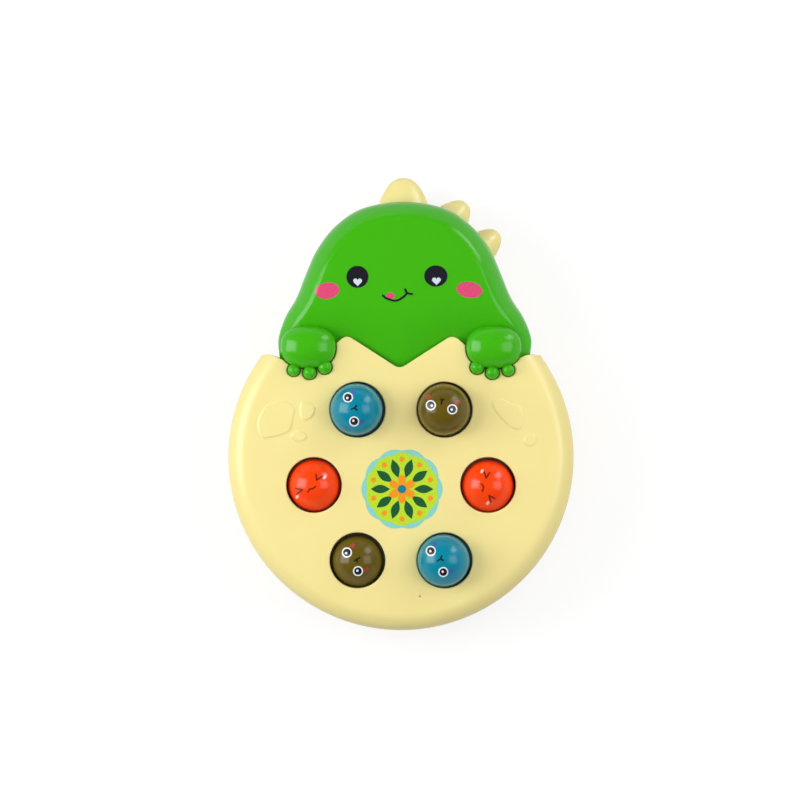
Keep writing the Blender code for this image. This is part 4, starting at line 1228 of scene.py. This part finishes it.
def heart(centre, half_width):
    swing = np.arange(48) * math.tau / 48
    across = np.sin(swing) ** 3
    up = (13 * np.cos(swing) - 5 * np.cos(2 * swing) - 2 * np.cos(3 * swing) - np.cos(4 * swing)) / 16
    return (np.array(centre) + half_width * np.stack((across, up), axis=1))[::-1]


marks = []
for eye, radii, glint in EYES:
    marks += [(dot(spot(*eye), radii), 1, "black"), (heart(spot(*glint), HEART_HALF_WIDTH), 2, "glint")]
for blush, radii, tilt in BLUSHES:
    marks.append((dot(spot(*blush), radii, tilt), 1, "pink"))
marks.append((dot(spot(*TONGUE[0]), TONGUE[1]), 1, "pink"))
marks.append((stroke([spot(*pixel) for pixel in SMILE], SMILE_WIDTH), 2, "black"))
marks.append((stroke([spot(*pixel) for pixel in SMILE_TICK], SMILE_WIDTH), 3, "black"))
print_marks("dino_face", "case", marks, head_top)

# Badge printed in the middle of the egg: a flower with a wreath of leaves on two scalloped grounds.
# The grounds are drawn as they are, and leaves, buds and petals repeat round the middle.
BADGE_MIDDLE = spot(402, 489)
GROUND_RADIUS = 0.0172
GROUND_SCALLOP = 0.0011
OUTER_GROUND_RADIUS = 0.0192
SCALLOPS = 10
LEAF = (0.0048, 0.0021)
PETAL = (0.0032, 0.0022)
BUD = (0.0013, 0.0013)
WREATH = (
    # mark, half sizes, reach from the middle, count, first angle, layer, ink
    ("leaf", LEAF, 0.0108, 10, 0, 3, "leaf"),
    ("bud", BUD, 0.0149, 10, 18, 3, "flower"),
    ("petal", PETAL, 0.0038, 6, 30, 4, "flower"),
)
HEART_OF_FLOWER = 0.0021


def wreath_tree():
    """Node tree that repeats a flat mark round a middle and drapes the ring over the egg's crown."""
    tree, given = new_tree("wreath", {
        "Mark": "Geometry", "Count": "Int", "Reach": "Float", "First Angle": "Float", "Middle": "Vector",
        "Egg Middle": "Vector", "Egg Radius": "Float", "Crown": "Float", "Finish": "Material",
    })

    def vectors(operation, first, second):
        node = add_node(tree, "ShaderNodeVectorMath", {0: first, 1: second}, operation=operation)
        return node.outputs["Vector"]

    def squared(value):
        return maths(tree, "POWER", maths(tree, "ABSOLUTE", value), 2)

    line = add_node(tree, "GeometryNodeMeshLine", {"Count": given["Count"]}).outputs["Mesh"]
    share = maths(tree, "DIVIDE", tree.nodes.new("GeometryNodeInputIndex").outputs[0], given["Count"])
    angle = maths(tree, "ADD", maths(tree, "MULTIPLY", share, math.tau), given["First Angle"])
    places = {"Geometry": line, "Position": round_about(tree, given["Reach"], angle)}
    ring = add_node(tree, "GeometryNodeSetPosition", places).outputs["Geometry"]
    marks = {"Points": ring, "Instance": given["Mark"], "Rotation": combined(tree, Z=angle)}
    copies = add_node(tree, "GeometryNodeInstanceOnPoints", marks).outputs["Instances"]
    real = add_node(tree, "GeometryNodeRealizeInstances", {"Geometry": copies}).outputs["Geometry"]
    here = vectors("ADD", tree.nodes.new("GeometryNodeInputPosition").outputs[0], given["Middle"])
    flat = split(tree, vectors("SUBTRACT", here, given["Egg Middle"]))
    square = maths(tree, "ADD", squared(flat["X"]), squared(flat["Y"]))
    share = maths(tree, "DIVIDE", square, maths(tree, "POWER", given["Egg Radius"], 2))
    down = combined(tree, Z=maths(tree, "MULTIPLY", share, given["Crown"]))
    draped = {"Geometry": real, "Position": vectors("SUBTRACT", here, down)}
    end_tree(tree, add_node(tree, "GeometryNodeSetPosition", draped).outputs["Geometry"], given["Finish"])
    return tree


def mark_outline(kind, half_sizes):
    """A leaf comes to a point at both ends, a petal at its foot, and a bud is round."""
    swing = np.arange(40) * math.tau / 40
    across, up = np.cos(swing), np.sin(swing)
    pinch = {"leaf": 1 - 0.75 * across**2, "petal": 0.80 + 0.30 * across, "bud": np.ones(40)}[kind]
    return np.stack((half_sizes[0] * across, half_sizes[1] * up * pinch), axis=1)


def scalloped(radius, first):
    swing = np.arange(360) * math.tau / 360
    reach = radius + GROUND_SCALLOP * np.abs(np.cos((swing - first) * SCALLOPS / 2))
    return BADGE_MIDDLE + reach[:, None] * directions(swing)


def grow_ring(kind, half_sizes, reach, count, first, layer, ink, tree):
    """One ring of the wreath, from one flat mark that lies at the crown's height."""
    top = FACE + CROWN
    corners, faces = prism(mark_outline(kind, half_sizes), top - INK_DEPTH, top + layer * INK_LAYER)
    mark = bpy.data.meshes.new(kind)
    mark.from_pydata([tuple(corner) for corner in corners], [], faces)
    values = {"Count": count, "Reach": reach, "First Angle": math.radians(first), "Finish": inks[ink],
              "Middle": (*BADGE_MIDDLE, 0), "Egg Middle": (*EGG_MIDDLE, 0), "Egg Radius": EGG_RADIUS,
              "Crown": CROWN}
    piece = grown("badge_" + kind, mark, tree, values)
    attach(piece, "case")


grounds = [
    (scalloped(OUTER_GROUND_RADIUS, 0), 1, "sea"),
    (scalloped(GROUND_RADIUS, math.pi / SCALLOPS), 2, "lime"),
    (dot(BADGE_MIDDLE, HEART_OF_FLOWER), 5, "teal"),
]
print_marks("badge_ground", "case", grounds, egg_face)
wreath = wreath_tree()
for row in WREATH:
    grow_ring(*row, wreath)

# Screws: zinc-plated steel with a pan head, a cross slot and a rolled thread that cuts into the bosses.
# Eight long ones close the case from behind, and four short ones hold the mechanism plate to the egg front.
SCREW_RADIUS = 0.00135
SCREW_HEAD_RADIUS = 0.0027
SCREW_HEAD_HEIGHT = 0.0018
SCREW_TIP = 0.0012
THREAD_PITCH = 0.0008
THREAD_DEPTH = 0.00025
SCREW_TURNS = 32
TARNISH_SCALE = 700
STEEL_GRAIN_SCALE = 4000
STEEL_ROUGHNESS = (0.22, 0.42)
CROSS_SLOT = {"reach": 0.0030, "width": 0.0007, "depth": 0.0010, "level": -SCREW_HEAD_HEIGHT}


def plated_steel(name):
    """Bright plated steel with a fine grain and tarnish in patches."""
    material, tree, shader = new_finish(name)
    shader.inputs["Metallic"].default_value = 1
    patches = noise(tree, TARNISH_SCALE)
    dull, bright = (*linear(176, 176, 172), 1), (*linear(214, 215, 216), 1)
    tree.links.new(blended(tree, patches, dull, bright), shader.inputs["Base Color"])
    tree.links.new(ranged(tree, patches, *STEEL_ROUGHNESS), shader.inputs["Roughness"])
    add_grain(tree, shader, noise(tree, STEEL_GRAIN_SCALE), STEP / 8)
    return material


def screw_profile(length):
    """From the middle of the head, over its rounded edge and its seat, and up the thread to the tip."""
    edge = SCREW_HEAD_HEIGHT / 2
    swings = np.linspace(0, math.pi / 2, 7)
    profile = [(0, -SCREW_HEAD_HEIGHT)]
    profile += [(SCREW_HEAD_RADIUS - edge * (1 - math.sin(s)), -edge * (1 + math.cos(s))) for s in swings]
    profile += [(SCREW_HEAD_RADIUS, 0), (SCREW_RADIUS, 0)]
    for level in np.arange(THREAD_PITCH, length - SCREW_TIP, THREAD_PITCH):
        profile += [(SCREW_RADIUS - THREAD_DEPTH, level), (SCREW_RADIUS, level + THREAD_PITCH / 2)]
    return profile + [(SCREW_RADIUS - THREAD_DEPTH, length - SCREW_TIP), (0, length)]


screw_steel = plated_steel("screw_steel")
driven_part = turned_tree("driven_part", driven=True)
for kind, count in (("case_screw_", 8), ("plate_screw_", 4)):
    names = [kind + str(i + 1) for i in range(count)]
    boxes = [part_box(name) for name in names]
    seats = [((low.x + high.x) / 2, (low.y + high.y) / 2, low.z + SCREW_HEAD_HEIGHT) for low, high in boxes]
    length = boxes[0][1].z - seats[0][2]
    screws = turned_parts(kind + "set", screw_profile(length), seats, driven_part, SCREW_TURNS, screw_steel,
                          **CROSS_SLOT)
    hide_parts(*names)
    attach(screws, "case")

# Feet: four soft rubber discs stuck on the back, dished a little underneath so that they grip a table.
PAD_ROUND = 0.0004
PAD_DISH = 0.0002
PAD_DISH_SHARE = 0.6
PAD_TURNS = 64
DUST = 0.15


def soft_rubber(name):
    """Matt dark rubber with a fine grain and a little dust."""
    grey = linear(62, 62, 64)
    material = moulded_plastic(name, grey, roughness=0.72, grain=0.00004, specular=0.3, drift=0.10)
    material.node_tree.nodes["Principled BSDF"].inputs["Sheen Weight"].default_value = DUST
    return material


low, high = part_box("foot_pad_1")
radius, height = (high.x - low.x) / 2, high.z - low.z
profile = [(0, PAD_DISH), (PAD_DISH_SHARE * radius, PAD_DISH), (radius - 2 * PAD_ROUND, 0)]
for swing in np.linspace(0, math.pi / 2, 6):
    profile.append((radius - PAD_ROUND * (1 - math.sin(swing)), PAD_ROUND * (1 - math.cos(swing))))
profile += [(radius, height), (0, height)]
names = ["foot_pad_" + str(i + 1) for i in range(4)]
places = [((box[0].x + box[1].x) / 2, (box[0].y + box[1].y) / 2, box[0].z) for box in map(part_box, names)]
pads = turned_parts("foot_pads", profile, places, turned_part, PAD_TURNS, soft_rubber("pad_rubber"))
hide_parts(*names)
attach(pads, "case")

# Mechanism: plungers, rockers and their plate are plain white mouldings, and the rockers turn on steel pins.
# They are used as they come from the tool, seldom seen, and so have a coarser grain than the outside.
white_plastic = moulded_plastic(
    "white_plastic", linear(226, 226, 220), roughness=0.42, grain=0.00004, drift=0.02
)
for name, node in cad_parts.items():
    if name.startswith(("plunger_", "rocker_", "mechanism_")):
        for slot in node.material_slots:
            slot.material = screw_steel if name.startswith("rocker_pin_") else white_plastic
